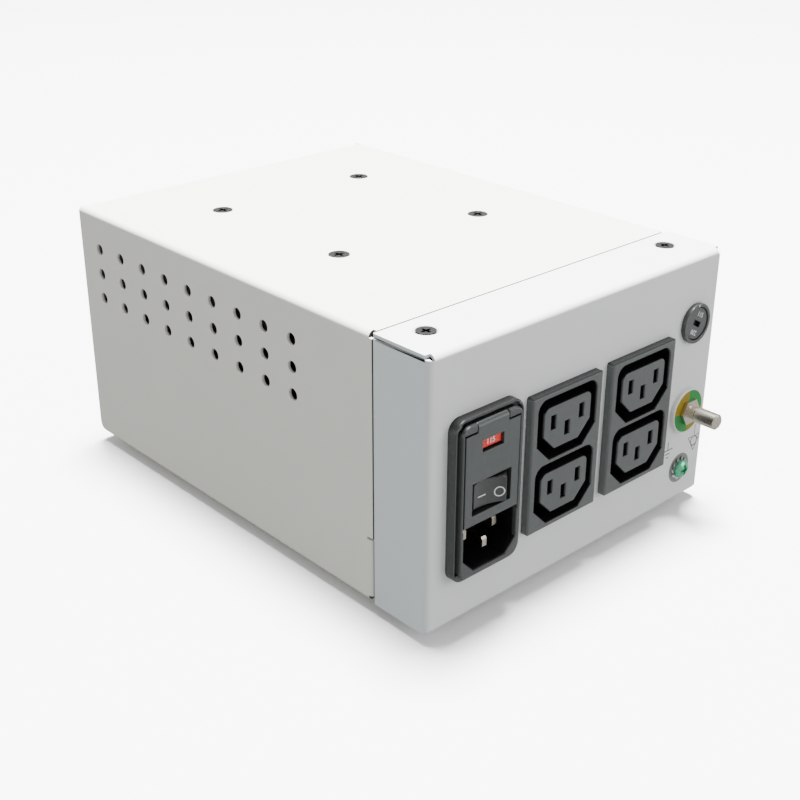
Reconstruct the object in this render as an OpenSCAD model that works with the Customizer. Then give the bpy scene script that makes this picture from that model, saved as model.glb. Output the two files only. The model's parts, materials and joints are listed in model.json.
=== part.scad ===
// Small isolation transformer in a folded steel case. On its front panel are
// a power inlet with switch and fuse door, two double outlets, a voltage
// selector, an equipotential bonding pin and an earth screw.
// The front panel faces -Y, +X is to the right seen from the front, +Z is up.
// The origin is on the floor under the middle of the whole part.

/* [Case] */
// Distance of the inlet module from the case's left side
left_margin = 8; // [7:0.5:10]
// Distance between the inlet module and the left outlet block
module_gap = 5.05; // [4:0.05:8]
// Distance between the two outlet blocks
outlet_gap = 5.3; // [4:0.1:8]
// Distance between the right outlet block and the selector
column_gap = 6.25; // [5:0.05:9]
// Distance of the selector from the case's right side
right_margin = 6; // [5:0.5:9]
// Air between the top sheet and the core
core_air = 1.5; // [1:0.1:3]
// Room between the core and the base plate
core_floor_gap = 5.9; // [5:0.1:8]
// Room for the wiring between the inlet module and the winding
wiring_room = 22.2; // [16:0.2:30]
// Room between the winding and the rear
rear_room = 35.2; // [26:0.2:40]
// Thickness of the sheet steel
sheet_t = 1.2; // [1:0.1:1.4]
// Outer radius of every bend in the sheet
bend_r = 2.2; // [1.8:0.1:2.8]
// Depth of the front pan, from its face to the seam
pan_depth = 25.2; // [22:0.2:28]
// Gap along the seam between the front pan and the cover
seam_gap = 0.4; // [0.2:0.1:0.8]
// Gap between neighbouring flanges at the corners of the sheet
fold_gap = 0.5; // [0.3:0.1:0.8]
// Width of the cover's flanges that fold in under the case
return_w = 30; // [27:1:34]
// Radius of the lower rear corners of the cover's sides
skirt_r = 5; // [3:0.5:7]
// Height of the folded-in front edge of the cover's sides
side_tab_h = 24; // [18:1:30]
// Width of the folded-in front edge
side_tab_w = 7; // [5:0.5:7.5]
// Length of the slit above the folded-in edge
slit_len = 3; // [2:0.5:5]
// Height of the slit
slit_h = 1.1; // [0.8:0.1:1.5]

/* [Vents] */
// Vent holes along each side
vent_columns = 9; // [6:1:10]
// Rows of vent holes
vent_rows = 3; // [2:1:4]
// Distance between vent columns
vent_pitch = 15; // [12:0.5:16]
// Distance between vent rows
vent_row_pitch = 10.1; // [8:0.1:12]
// Diameter of a vent hole
vent_d = 4.5; // [3.5:0.1:5.5]
// Distance of the last vent column from the rear
vent_rear = 13.3; // [10:0.1:20]
// Distance of the top vent row below the case's top
vent_drop = 14.8; // [12:0.1:18]

/* [Feet and screws] */
// Height of the rubber feet
foot_h = 4; // [3.5:0.5:6]
// Diameter of a foot at its top
foot_d = 13; // [12:0.5:15]
// Distance of a foot's centre from the case's sides, front and rear
foot_inset = 17; // [15:0.5:19]
// Thread diameter of the case screws
screw_d = 4; // [3.5:0.1:4.2]
// Head diameter of a countersunk case screw
screw_head_d = 8; // [7:0.1:8.4]
// Head height of a countersunk case screw
screw_head_h = 2.3; // [2:0.1:2.6]
// Distance of the pan screws from the case's sides
pan_screw_inset = 13.5; // [12:0.5:18]
// Distance of the pan screws behind the front face
pan_screw_back = 15.8; // [14:0.1:18]
// Thread diameter of the base screws
base_screw_d = 3; // [2.5:0.1:3.2]
// Head diameter of a base screw
base_head_d = 5.6; // [5:0.1:6]
// Clearance of a screw in its hole, on the radius
screw_clear = 0.15; // [0.1:0.05:0.3]

/* [Transformer] */
// Width of the core's middle leg
tongue_w = 35; // [32:0.5:35.5]
// Width of each window in the core
window_w = 17.5; // [16:0.5:18.5]
// Height of each window in the core
window_h = 52.5; // [46:0.5:53]
// Thickness of the stack of laminations
stack_t = 50; // [44:1:51]
// Gap between the winding and the core's outer legs
coil_side_gap = 2.2; // [1.6:0.1:4]
// Distance of a hanging screw from its bracket's plate
hang_inset = 8; // [7:0.5:10]
// Offset of the transformer's centre to the right
core_x = 1; // [0:0.5:3]
// Thickness of the core brackets
bracket_t = 2; // [1.6:0.1:2.4]

/* [Inlet module] */
// Width of the rim round the raised face
rim_w = 1.8; // [1.6:0.1:2.2]
// Wall of the raised face beside the cavity
block_wall = 1.4; // [1.3:0.1:1.8]
// Height of the flange's lower edge above the case's underside
flange_z = 17.4; // [16:0.1:18]
// Thickness of the flange
flange_t = 3.6; // [3.2:0.1:3.8]
// Height of the raised face in front of the panel
face_t = 5; // [4.8:0.1:5.4]
// Width of the inlet's cavity
socket_w = 24; // [23.8:0.1:24.2]
// Height of the inlet's cavity
socket_h = 16.5; // [16.3:0.1:16.6]
// Depth of the inlet's cavity
socket_depth = 16; // [15:0.5:17]
// Distance between the two power contacts
contact_pitch = 14; // [13.8:0.1:14.2]
// Distance of the earth contact below the power contacts
earth_drop = 4; // [3.8:0.1:4.2]
// Thickness of the fuse door
door_t = 2.2; // [2:0.1:2.3]
// Width of the rocker's opening in the door
rocker_open_w = 17.4; // [17.3:0.1:18]
// Height of the rocker's opening in the door
rocker_open_h = 11.4; // [11.3:0.1:11.6]
// Angle through which the rocker turns
rocker_swing = 26; // [22:1:27]
// Depth of the module behind the panel
module_depth = 40; // [38:1:44]

/* [Outlets] */
// Height of the blocks' centre above the case's underside
outlet_z = 46.3; // [45:0.1:48]
// Thickness of the flange
outlet_t = 3; // [2.5:0.1:3.5]
// Width of the moat beside a tongue
moat_gap_w = 3.15; // [3:0.05:3.3]
// Width of the moat above and below a tongue
moat_gap_h = 3.45; // [3.3:0.05:3.6]
// Rim of the flange beside the moats
outlet_rim_w = 2.7; // [1.8:0.1:3]
// Rim of the flange above and below the moats
outlet_rim_h = 2; // [1.5:0.1:2.4]
// Bridge between the upper and the lower moat
outlet_bridge = 1.4; // [1.2:0.1:2]
// Width of the tongue
outlet_tongue_w = 23.2; // [23:0.1:23.6]
// Height of the tongue
outlet_tongue_h = 15.9; // [15.6:0.1:16.2]
// Depth of the moat
moat_depth = 16; // [15:0.5:17]
// Depth of an outlet block behind the panel
outlet_depth = 22; // [20:0.5:24]

/* [Right column] */
// Distance of the voltage selector's centre below the case's top
selector_drop = 25.4; // [22:0.1:28]
// Wall of the selector's ring
ring_wall = 1.4; // [1.2:0.1:1.8]
// Thickness of the selector's ring
selector_t = 1.8; // [1.5:0.1:2.2]
// Diameter of the selector's rotor
rotor_d = 11.8; // [11:0.1:12]
// Height of the bonding pin above the case's underside
bonding_z = 38.1; // [34:0.1:42]
// Reach of the bonding pin in front of the panel
pin_reach = 15; // [14:0.1:17]
// Diameter of the bonding pin
pin_d = 6; // [5.8:0.1:6.2]
// Diameter of the two-coloured disc behind the pin
disc_d = 17.6; // [15:0.1:19]
// Thickness of the disc
disc_t = 1.6; // [0.8:0.1:1.9]
// Height of the earth screw above the case's underside
earth_screw_z = 13.6; // [12:0.1:16]
// Diameter of the earth screw's head
earth_head_d = 7; // [6.6:0.1:7.6]
// Thread diameter of the earth screw
earth_screw_d = 4; // [3.5:0.1:4.2]

/* [Hidden] */
$fn = 48;

// How far every cut runs past the faces that it opens
overrun = 1;

// Transformer: the case is built round it and round the panel's pieces
limb_w = tongue_w / 2;
core_w = 2 * tongue_w + 2 * window_w;
core_h = window_h + tongue_w;
bobbin_wall = 1.5;
bobbin_fit = 0.3;
bobbin_end_gap = 0.5;
bobbin_side_gap = 0.7;
coil_build = window_w - bobbin_fit - bobbin_wall - coil_side_gap;
coil_corner_r = 6;
coil_gap = 0.3;
sleeve_w = tongue_w + 2 * (bobbin_fit + bobbin_wall);
sleeve_y = stack_t + 2 * (bobbin_fit + bobbin_wall);
bobbin_h = window_h - 2 * bobbin_end_gap;
bobbin_x = tongue_w + 2 * window_w - 2 * bobbin_side_gap;
bobbin_y = sleeve_y + 2 * coil_build + 2 * bobbin_wall;
chamber_h = (bobbin_h - 3 * bobbin_wall) / 2;
tag_w = 3;
tag_t = 0.8;
tag_len = 5;
tag_pitch = 11;
tag_count = 4;
hang_pitch = stack_t + 2 * (bracket_t + hang_inset);
plug_len = 12;
plug_gap = 1;

// Widths and heights of the panel's pieces
block_w = socket_w + 2 * block_wall;
flange_w = block_w + 2 * rim_w;
moat_w = outlet_tongue_w + 2 * moat_gap_w;
moat_h = outlet_tongue_h + 2 * moat_gap_h;
outlet_w = moat_w + 2 * outlet_rim_w;
outlet_pitch_z = moat_h + outlet_bridge;
outlet_h = outlet_pitch_z + moat_h + 2 * outlet_rim_h;
outlet_pitch_x = outlet_w + outlet_gap;
selector_fit = 0.3;
selector_d = rotor_d + 2 * (selector_fit + ring_wall);

// Case
outlets_w = 2 * outlet_w + outlet_gap;
body_w = left_margin + flange_w + module_gap + outlets_w + column_gap + selector_d + right_margin;
body_h = sheet_t + core_air + core_h + core_floor_gap + 2 * sheet_t;
body_d = module_depth + plug_gap + plug_len + wiring_room + tag_len + bobbin_y + rear_room;
module_x = left_margin + (flange_w - body_w) / 2;
outlet_x = module_x + flange_w / 2 + module_gap + outlet_w / 2;
column_x = body_w / 2 - right_margin - selector_d / 2;
selector_z = body_h - selector_drop;
box_z = foot_h;
top_z = box_z + body_h;
rear_y = (body_d + pin_reach) / 2;
panel_y = rear_y - body_d;
seam_y = panel_y + pan_depth;
cover_y = seam_y + seam_gap;
cover_len = rear_y - cover_y;
inner_top_z = top_z - sheet_t;
floor_z = box_z + sheet_t;
corner_relief = 0.3;
seam_notch = 1.4;

// Strip under the seam
strip_front = 8;
strip_lap = 15;
strip_t = 2;
strip_side = 6;

// Base plate
base_side_gap = 0.4;
base_end_gap = 1.5;
base_lip_h = 7;
tab_notch = 1.5;

// Screws and nuts
screw_len = 12;
nut_wall = 1.5;
nut_w = screw_d + 2 * nut_wall;
nut_h = 3.2;
recess_w = 1.1;
recess_span = 4.2;
recess_depth = 1.3;
pan_screw_len = 7;
base_head_h = 1.65;
base_screw_len = 7;
base_nut_w = 5.5;
base_nut_h = 2.4;
base_screw_side = 20;
base_screw_front = 12;
base_screw_rear = 70;

// Feet
foot_taper = 1;
foot_edge_r = 0.8;
foot_land = 1.6;
foot_well_gap = 0.4;
foot_screw_head_d = 7.6;
foot_well_d = foot_screw_head_d + 2 * foot_well_gap;
foot_well_h = foot_h - foot_land;
foot_screw_head_h = foot_well_h - foot_well_gap;
foot_screw_len = 8;

// Core's place, bolts and brackets
core_z = inner_top_z - core_air - core_h / 2;
core_y = rear_y - rear_room - bobbin_y / 2;
bolt_x = core_w - limb_w;
bolt_z = core_h - limb_w;
core_bolt_d = 4;
core_head_d = 7;
core_head_h = 2.8;
core_bolt_past = 5;
core_nut_h = 3;
bracket_margin = 0.8;
hang_foot_w = 22;
hang_foot_past = 8;

// Inlet module: heights are above the case's underside
flange_r = 4.5;
block_r = 3.5;
block_low = 1.6;
rim_top = 1.9;
moat_line = 1.1;
moat_line_depth = 1.6;
moat_line_end = 3.4;
socket_rise = 3.6;
socket_z = flange_z + socket_rise;
socket_top = socket_z + socket_h;
socket_chamfer = 4.8;
socket_corner_r = 1;
row_rise = earth_drop / 2;
socket_mid = socket_z + socket_h / 2;
shell_wall = 1.3;
shell_w = socket_w + 2 * shell_wall;
shell_low = 2.4;
shell_top = 2.8;
shell_r = 1.5;
shell_fit = 0.2;
latch_h = 8;
latch_out = 1.2;
latch_len = 5;

// Contacts
blade_w = 2;
blade_h = 4;
blade_tip = 0.7;
power_recess = 5;
earth_recess = 2.5;
tab_w = 6.3;
tab_t = 0.8;
tab_len = 8;

// Switch frame and rocker, above the cavity
door_gap = 0.3;
door_strip = 3.55;
frame_lap_w = 0.5;
frame_lap_h = 0.8;
frame_w = rocker_open_w + 2 * frame_lap_w;
frame_h = rocker_open_h + 2 * frame_lap_h;
frame_wall_x = 0.65;
frame_wall_z = 1;
frame_depth = 18;
frame_clear = 0.25;
rocker_z = socket_top + door_gap + door_strip + rocker_open_h / 2;
rocker_pivot_t = 0.65;
rocker_apex = 3.4;
rocker_dish = 1.5;
rocker_side_gap = 0.8;
rocker_end_gap = 0.5;
rocker_flank = 0.9;
rocker_draw = 1.75;
rocker_foot_draw = 0.7;
rocker_shoulder = [rocker_open_w / 2 - rocker_side_gap, 1.6];
rocker_waist = [rocker_shoulder.x - rocker_foot_draw, -0.6];
rocker_toe = [4, -3.4];
rocker_half = rocker_shoulder.x - rocker_draw;
rocker_base_h = rocker_open_h - 2 * rocker_end_gap;
rocker_face_h = rocker_base_h - 2 * rocker_flank;
pivot_d = 1.8;
rocker_well = 5;
dish_r = (rocker_half * rocker_half + rocker_dish * rocker_dish) / (2 * rocker_dish);
switch_tab_x = 5.5;
switch_tab_z = 3.6;

// Fuse carrier, above the switch
carrier_clear = 0.3;
carrier_land = 1.6;
carrier_z = rocker_z + frame_h / 2 + frame_clear + carrier_land + carrier_clear;
carrier_depth = 26;
carrier_gap = 0.2;
fuse_d = 5;
fuse_len = 20;
fuse_cap_len = 5;
fuse_cap_t = 0.2;
fuse_bore_clear = 0.35;
fuse_bore_r = fuse_d / 2 + fuse_bore_clear;
fuse_low_wall = 0.75;
fuse_mid_wall = 5.1;
fuse_side_wall = 1.95;
fuse_x = fuse_bore_r + fuse_mid_wall / 2;
fuse_z = carrier_z + fuse_low_wall + fuse_bore_r;
carrier_w = 2 * (fuse_x + fuse_bore_r + fuse_side_wall);
window_view_w = 9.4;
window_view_h = 4;
insert_lap_w = 0.8;
insert_lap_h = 0.3;
insert_w = window_view_w + 2 * insert_lap_w;
insert_h = window_view_h + 2 * insert_lap_h;
insert_wall = 0.35;
insert_depth = 3;
insert_clear = 0.15;
window_z = fuse_z + fuse_bore_r + insert_wall + insert_h / 2;
carrier_h = window_z + insert_h / 2 + carrier_land - carrier_z;

// Fuse door: it swings on a pin in two ears at the module's top
door_floor_gap = 0.3;
door_top_land = 4.4;
door_lap = 0.1;
door_w = socket_w + 2 * door_lap;
ear_h = 2.9;
ear_half = 7.1;
ear_gap = 0.25;
knuckle_r = 1.5;
knuckle_clear = 0.3;
ear_clear = 0.22;
block_top = carrier_z + carrier_h + carrier_clear + door_top_land;
flange_h = block_top + rim_top - flange_z;
hinge_z = block_top - knuckle_r;
hinge_t = face_t - knuckle_r;
ear_corner = norm([ear_h - knuckle_r, knuckle_r]);
ear_line_gap = 0.35;
ear_low = block_top - ear_h;
hinge_pin_d = 1.5;
hinge_pin_seat = 3.5;
press = 0.01;
running = 0.05;
door_low = socket_top + door_gap;
door_back = face_t - door_t;
door_floor = door_back - door_floor_gap;
carrier_front = door_floor - carrier_gap;
carrier_back = carrier_front - carrier_depth;
slot_w = 4.4;
slot_x = 4.3;
slot_depth = 5;

// Outlets
outlet_edge = 0.5;
outlet_corner_r = 1;
outlet_shell_wall = 0.9;
outlet_shell_fit = 0.2;
moat_r = 4;
moat_chamfer = 6.5;
tongue_r = 2.5;
tongue_chamfer = 5.6;
slot_wide = 2.5;
slot_tall = 5.1;
slot_land = 2.5;
sleeve_cell_w = 3.4;
sleeve_cell_h = 5.6;
sleeve_wall = 0.4;
sleeve_clear = 0.15;
strip_bar_w = 4.4;

// Selector
rotor_face_low = 0.4;
rotor_face_t = 2.2;
rotor_shaft_d = 6;
rotor_shaft_len = 10;
selector_shell_wall = 0.5;
selector_shell_d = rotor_d + 2 * (selector_fit + selector_shell_wall);
selector_shell_len = 17;
rotor_slot_w = 4.2;
rotor_slot_h = 2;
rotor_slot_depth = 1.4;
rotor_slot_angle = -30;
selector_tab_r = 4.2;
selector_tab_w = 2.8;
selector_tab_len = 6;
selector_tab_angles = [210, 330, 90];

// Bonding pin
pin_hex_w = 9;
pin_hex_t = 1.6;
pin_neck_step = 0.6;
pin_neck_d = pin_d - 2 * pin_neck_step;
pin_neck_len = 2.2;
pin_chamfer = 0.8;
stud_d = pin_d;
stud_len = 14;
stud_fit = 0.2;
lug_t = 1;
lug_d = 11;
lug_neck_w = 3.4;
bonding_nut_w = 10;
bonding_nut_h = 5;

// Earth screw
earth_head_h = 2.5;
earth_dome_r = 5.2;
washer_d = 9.2;
washer_t = 0.7;
washer_teeth = 10;
tooth_w = 1.3;
tooth_len = 1.5;
earth_screw_len = 10;
earth_nut_w = earth_screw_d + 2 * nut_wall;
earth_nut_h = 3.2;
earth_recess_span = 4;
earth_recess_w = 1;
earth_recess_depth = 1.5;

// Wires
wire_d = 2.6;
wire_sides = 8;
wire_rings = 12;
wire_reach = 14;
plug_w = 7.2;
plug_t = 2.8;
loop_share = 0.7;
lug_share = 2.6;
selector_share = 1.6;
barrel_d = 3.6;
lug_gap = 1.4;
barrel_len = 6;
lug_len = bonding_nut_w / cos(30) / 2 + lug_gap + barrel_d / 2;
bonding_lug_angles = [230, 145];
earth_lug_angles = [180];
sweep_reference = [0.31, 0.05, 0.95];
backwards = [0, wire_reach, 0];
forwards = [0, -wire_reach, 0];
inlet_tabs = [
    [module_x - contact_pitch / 2, socket_mid + row_rise],
    [module_x + contact_pitch / 2, socket_mid + row_rise],
    [module_x, socket_mid - row_rise]
];
switch_tabs = [
    for (sy = [-1, 1], sx = [-1, 1])
        [module_x + sx * switch_tab_x, rocker_z + sy * switch_tab_z]
];

// Tabs of outlet block i in the panel's frame: two for power, one for earth
function outlet_tabs(i) = [
    for (p = [[-contact_pitch / 2, row_rise], [contact_pitch / 2, row_rise], [0, -row_rise]])
        p + [outlet_x + i * outlet_pitch_x, outlet_z]
];

// A vector of length one
function unit(v) = v / norm(v);

// A point on a smooth curve with four control points
function curve_point(a, b, c, d, s) =
    pow(1 - s, 3) * a + 3 * s * pow(1 - s, 2) * b + 3 * s * s * (1 - s) * c + pow(s, 3) * d;

// Front end of a solder tag on the lower (-1) or the upper (1) bobbin flange
function tag_end(side, i) = [
    core_x + (i - (tag_count - 1) / 2) * tag_pitch,
    core_y - bobbin_y / 2 - tag_len,
    core_z + side * (bobbin_h - bobbin_wall) / 2
];

// Where a wire meets the receptacle on a tab whose root is at a depth
function plug_end(p, depth) = [p.x, panel_y + depth + plug_gap + plug_len, box_z + p.y];

// Rear end of one of the selector's tabs
function selector_end(i) = [
    column_x + selector_tab_r * cos(selector_tab_angles[i]),
    panel_y + selector_shell_len + selector_tab_len,
    box_z + selector_z + selector_tab_r * sin(selector_tab_angles[i])
];

// Where a wire enters a lug's barrel on the right column
function lug_end(z, a) = [
    column_x + lug_len * cos(a),
    panel_y + sheet_t + barrel_len,
    box_z + z + lug_len * sin(a)
];

// A rectangle with four round corners, centred
module rounded_rect(w, h, r) {
    square([w, h - 2 * r], center = true);
    square([w - 2 * r, h], center = true);
    for (sx = [-1, 1], sy = [-1, 1])
        translate([sx * (w / 2 - r), sy * (h / 2 - r)])
            circle(r = r);
}

// The outline of an appliance coupler: round top corners, cut bottom corners
module coupler_outline(w, h, r, cut) {
    polygon([
        [-w / 2, h / 2 - r], [r - w / 2, h / 2], [w / 2 - r, h / 2], [w / 2, h / 2 - r],
        [w / 2, cut - h / 2], [w / 2 - cut, -h / 2], [cut - w / 2, -h / 2], [-w / 2, cut - h / 2]
    ]);
    for (sx = [-1, 1])
        translate([sx * (w / 2 - r), h / 2 - r])
            circle(r = r);
}

// A quarter of a sheet-metal bend, in the positive quadrant
module bend_section(r) {
    difference() {
        intersection() {
            circle(r = r);
            square([r, r]);
        }
        circle(r = r - sheet_t);
    }
}

// Turns a flat outline so that its x is +Y, its y is +Z and it is extruded along +X
module along_x(len) {
    rotate([90, 0, 90])
        linear_extrude(len)
            children();
}

// The front panel's own frame: x to the right, y up, z out of the panel
module on_panel() {
    translate([0, panel_y, box_z])
        rotate([90, 0, 0])
            children();
}

// Draws its children on the right and mirrored on the left
module both_sides() {
    children();
    mirror([1, 0, 0])
        children();
}

// A hexagonal nut standing on z = 0, with its thread's bore
module nut(w, h, d) {
    difference() {
        cylinder(d = w / cos(30), h = h, $fn = 6);
        translate([0, 0, -overrun])
            cylinder(d = d + 2 * screw_clear, h = h + 2 * overrun);
    }
}

// A cross recess to be cut into a head whose top is at z = 0
module cross_recess(span, w, depth) {
    for (a = [0, 90])
        rotate([0, 0, a])
            translate([-span / 2, -w / 2, -depth])
                cube([span, w, depth + overrun]);
}

// A countersunk screw with its head's top at z = 0, pointing down
module countersunk_screw(d, head_d, head_h, len) {
    difference() {
        union() {
            translate([0, 0, -head_h])
                cylinder(d1 = d, d2 = head_d, h = head_h);
            translate([0, 0, -len])
                cylinder(d = d, h = len - head_h / 2);
        }
        cross_recess(recess_span * head_d / screw_head_d, recess_w, recess_depth);
    }
}

// The hole for a countersunk screw, cut down from z = 0
module countersink(d, head_d, head_h, depth) {
    translate([0, 0, -head_h])
        cylinder(d1 = d + 2 * screw_clear, d2 = head_d + 2 * screw_clear, h = head_h);
    cylinder(d = head_d + 2 * screw_clear, h = overrun);
    translate([0, 0, -depth - overrun])
        cylinder(d = d + 2 * screw_clear, h = depth + overrun);
}

// Places of the four screws that hang the transformer from the top
module at_hanging_screws() {
    for (sx = [-1, 1], sy = [-1, 1])
        translate([core_x + sx * hang_pitch / 2, core_y + sy * hang_pitch / 2, top_z])
            children();
}

// Places of the two screws in the pan's top flange
module at_pan_screws() {
    for (sx = [-1, 1])
        translate([sx * (body_w / 2 - pan_screw_inset), panel_y + pan_screw_back, top_z])
            children();
}

// Places of the four feet, on the case's underside
module at_feet() {
    for (sx = [-1, 1], y = [panel_y + foot_inset, rear_y - foot_inset])
        translate([sx * (body_w / 2 - foot_inset), y, box_z])
            children();
}

// Places of the four screws between the cover's flanges and the base plate
module at_base_screws() {
    for (sx = [-1, 1], y = [cover_y + base_screw_front, rear_y - base_screw_rear])
        translate([sx * (body_w / 2 - base_screw_side), y, box_z])
            children();
}

// The cover's section: a box folded from one sheet, open in the middle below
module cover_section() {
    difference() {
        rounded_rect(body_w, body_h, bend_r);
        rounded_rect(body_w - 2 * sheet_t, body_h - 2 * sheet_t, bend_r - sheet_t);
        translate([0, -body_h / 2])
            square([body_w - 2 * return_w, 2 * (bend_r + overrun)], center = true);
    }
}

// The front edge of one side, folded inwards below the slit
module side_tab() {
    translate([body_w / 2 - bend_r, cover_y + bend_r, box_z + bend_r])
        linear_extrude(side_tab_h - bend_r)
            rotate([0, 0, -90])
                bend_section(bend_r);
    translate([body_w / 2 - bend_r - side_tab_w, cover_y, box_z + bend_r])
        cube([side_tab_w, sheet_t, side_tab_h - bend_r]);
}

// Cover: top, sides and rear in one folded sheet, with vents and slits
module housing_cover() {
    rear_len = body_w - 2 * bend_r - 2 * corner_relief;
    rear_half = body_w / 2 - sheet_t - fold_gap;
    rear_low = floor_z + fold_gap;
    color("gainsboro") {
        difference() {
            translate([0, rear_y, box_z + body_h / 2])
                rotate([90, 0, 0])
                    linear_extrude(cover_len)
                        cover_section();
            // The top sheet ends where the rear bend starts
            translate([bend_r - body_w / 2, rear_y - bend_r, inner_top_z - overrun])
                cube([body_w - 2 * bend_r, bend_r + overrun, sheet_t + 2 * overrun]);
            // Round lower rear corners
            translate([-body_w / 2 - overrun, rear_y - skirt_r, box_z + skirt_r])
                along_x(body_w + 2 * overrun)
                    difference() {
                        translate([0, -skirt_r - overrun])
                            square([skirt_r + overrun, skirt_r + overrun]);
                        circle(r = skirt_r);
                    }
            both_sides() {
                // Room for the folded-in edge, and the slit over it
                translate([0, cover_y - overrun, box_z - overrun])
                    cube([body_w / 2 + overrun, bend_r + overrun, side_tab_h + overrun]);
                translate([0, cover_y - overrun, box_z + side_tab_h])
                    cube([body_w / 2 + overrun, slit_len + overrun, slit_h]);
                // Open notch at the seam's top ends
                translate([body_w / 2 - bend_r, cover_y - overrun, top_z - bend_r])
                    cube([bend_r + overrun, seam_notch + overrun, bend_r + overrun]);
            }
            for (c = [0 : vent_columns - 1], r = [0 : vent_rows - 1])
                translate([0, rear_y - vent_rear - c * vent_pitch, top_z - vent_drop - r * vent_row_pitch])
                    rotate([0, 90, 0])
                        cylinder(d = vent_d, h = body_w + 2 * overrun, center = true);
            at_hanging_screws()
                countersink(screw_d, screw_head_d, screw_head_h, sheet_t);
            at_base_screws()
                rotate([180, 0, 0])
                    countersink(base_screw_d, base_head_d, base_head_h, sheet_t);
            at_feet()
                cylinder(d = screw_d + 2 * screw_clear, h = 2 * overrun + sheet_t, center = true);
        }
        both_sides()
            side_tab();
        translate([-rear_len / 2, rear_y - bend_r, top_z - bend_r])
            along_x(rear_len)
                bend_section(bend_r);
        translate([-rear_half, rear_y - sheet_t, rear_low])
            cube([2 * rear_half, sheet_t, top_z - bend_r - rear_low]);
    }
}

// Strip welded under the cover's front edge, into which the pan is screwed
module seam_strip() {
    strip_w = body_w - 2 * sheet_t - 2 * strip_side;
    color("silver")
        difference() {
            translate([-strip_w / 2, panel_y + strip_front, inner_top_z - strip_t])
                cube([strip_w, pan_depth - strip_front + strip_lap, strip_t]);
            at_pan_screws()
                countersink(screw_d, screw_head_d, screw_head_h, sheet_t + strip_t);
        }
}

// Top flange of the pan with its bend; it runs to the corners
module pan_top_fold() {
    len = body_w - 2 * bend_r;
    translate([-len / 2, body_h - bend_r, -bend_r])
        along_x(len)
            bend_section(bend_r);
    translate([-body_w / 2, body_h - sheet_t, -pan_depth])
        cube([body_w, sheet_t, pan_depth - bend_r]);
}

// Right flange of the pan with its bend, between the top and bottom flanges
module pan_side_fold() {
    len = body_h - 2 * bend_r;
    flat = body_h - 2 * sheet_t - 2 * fold_gap;
    translate([body_w / 2 - bend_r, body_h - bend_r, -bend_r])
        rotate([90, 0, 0])
            linear_extrude(len)
                bend_section(bend_r);
    translate([body_w / 2 - sheet_t, (body_h - flat) / 2, -pan_depth])
        cube([sheet_t, flat, pan_depth - bend_r]);
}

// Panel cut-outs, in the panel's frame
module panel_cutouts() {
    module_mid = (flange_z + shell_low + flange_z + flange_h - shell_top) / 2;
    translate([module_x, module_mid])
        rounded_rect(shell_w + 2 * shell_fit, flange_h - shell_low - shell_top + 2 * shell_fit, shell_r);
    for (i = [0, 1])
        translate([outlet_x + i * outlet_pitch_x, outlet_z])
            rounded_rect(
                moat_w + 2 * outlet_shell_wall + 2 * outlet_shell_fit,
                moat_h + outlet_pitch_z + 2 * outlet_shell_wall + 2 * outlet_shell_fit,
                shell_r
            );
    translate([column_x, selector_z])
        circle(d = selector_shell_d + 2 * selector_fit);
    translate([column_x, bonding_z])
        circle(d = stud_d + 2 * stud_fit);
    translate([column_x, earth_screw_z])
        circle(d = earth_screw_d + 2 * screw_clear);
}

// Front pan: the panel with four flanges folded back and open corners
module front_pan() {
    color("lightgray")
        difference() {
            on_panel() {
                difference() {
                    translate([bend_r - body_w / 2, bend_r, -sheet_t])
                        cube([body_w - 2 * bend_r, body_h - 2 * bend_r, sheet_t]);
                    translate([0, 0, -sheet_t - overrun])
                        linear_extrude(sheet_t + 2 * overrun)
                            panel_cutouts();
                }
                pan_top_fold();
                translate([0, body_h, 0])
                    mirror([0, 1, 0])
                        pan_top_fold();
                both_sides()
                    pan_side_fold();
            }
            at_pan_screws()
                countersink(screw_d, screw_head_d, screw_head_h, sheet_t);
            at_feet()
                cylinder(d = screw_d + 2 * screw_clear, h = 2 * overrun + sheet_t, center = true);
        }
}

// Base plate: closes the case below, with a lip at each end
module base_plate() {
    half = body_w / 2 - bend_r - base_side_gap;
    front = panel_y + bend_r + base_end_gap;
    rear = rear_y - sheet_t - base_end_gap;
    color("silver")
        difference() {
            union() {
                translate([-half, front, floor_z])
                    cube([2 * half, rear - front, sheet_t]);
                for (y = [front, rear - sheet_t])
                    translate([-half, y, floor_z])
                        cube([2 * half, sheet_t, base_lip_h]);
            }
            both_sides()
                translate([half - side_tab_w - tab_notch, cover_y - tab_notch, floor_z - overrun])
                    cube([bend_r + side_tab_w + tab_notch, bend_r + 2 * tab_notch, sheet_t + 2 * overrun]);
            at_base_screws()
                rotate([180, 0, 0])
                    countersink(base_screw_d, base_head_d, base_head_h, 2 * sheet_t);
            at_feet()
                cylinder(d = screw_d + 2 * screw_clear, h = 2 * overrun + 4 * sheet_t, center = true);
        }
}

// Four tapered rubber feet, each with a well for its screw's head
module rubber_feet() {
    color("dimgray")
        at_feet()
            difference() {
                union() {
                    translate([0, 0, foot_edge_r - foot_h])
                        cylinder(d1 = foot_d - foot_taper, d2 = foot_d, h = foot_h - foot_edge_r);
                    translate([0, 0, -foot_h])
                        cylinder(
                            d1 = foot_d - foot_taper - 2 * foot_edge_r,
                            d2 = foot_d - foot_taper,
                            h = foot_edge_r
                        );
                }
                translate([0, 0, -foot_h - overrun])
                    cylinder(d = foot_well_d, h = foot_well_h + overrun);
                cylinder(d = screw_d + 2 * screw_clear, h = 2 * (foot_h + overrun), center = true);
            }
}

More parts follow.
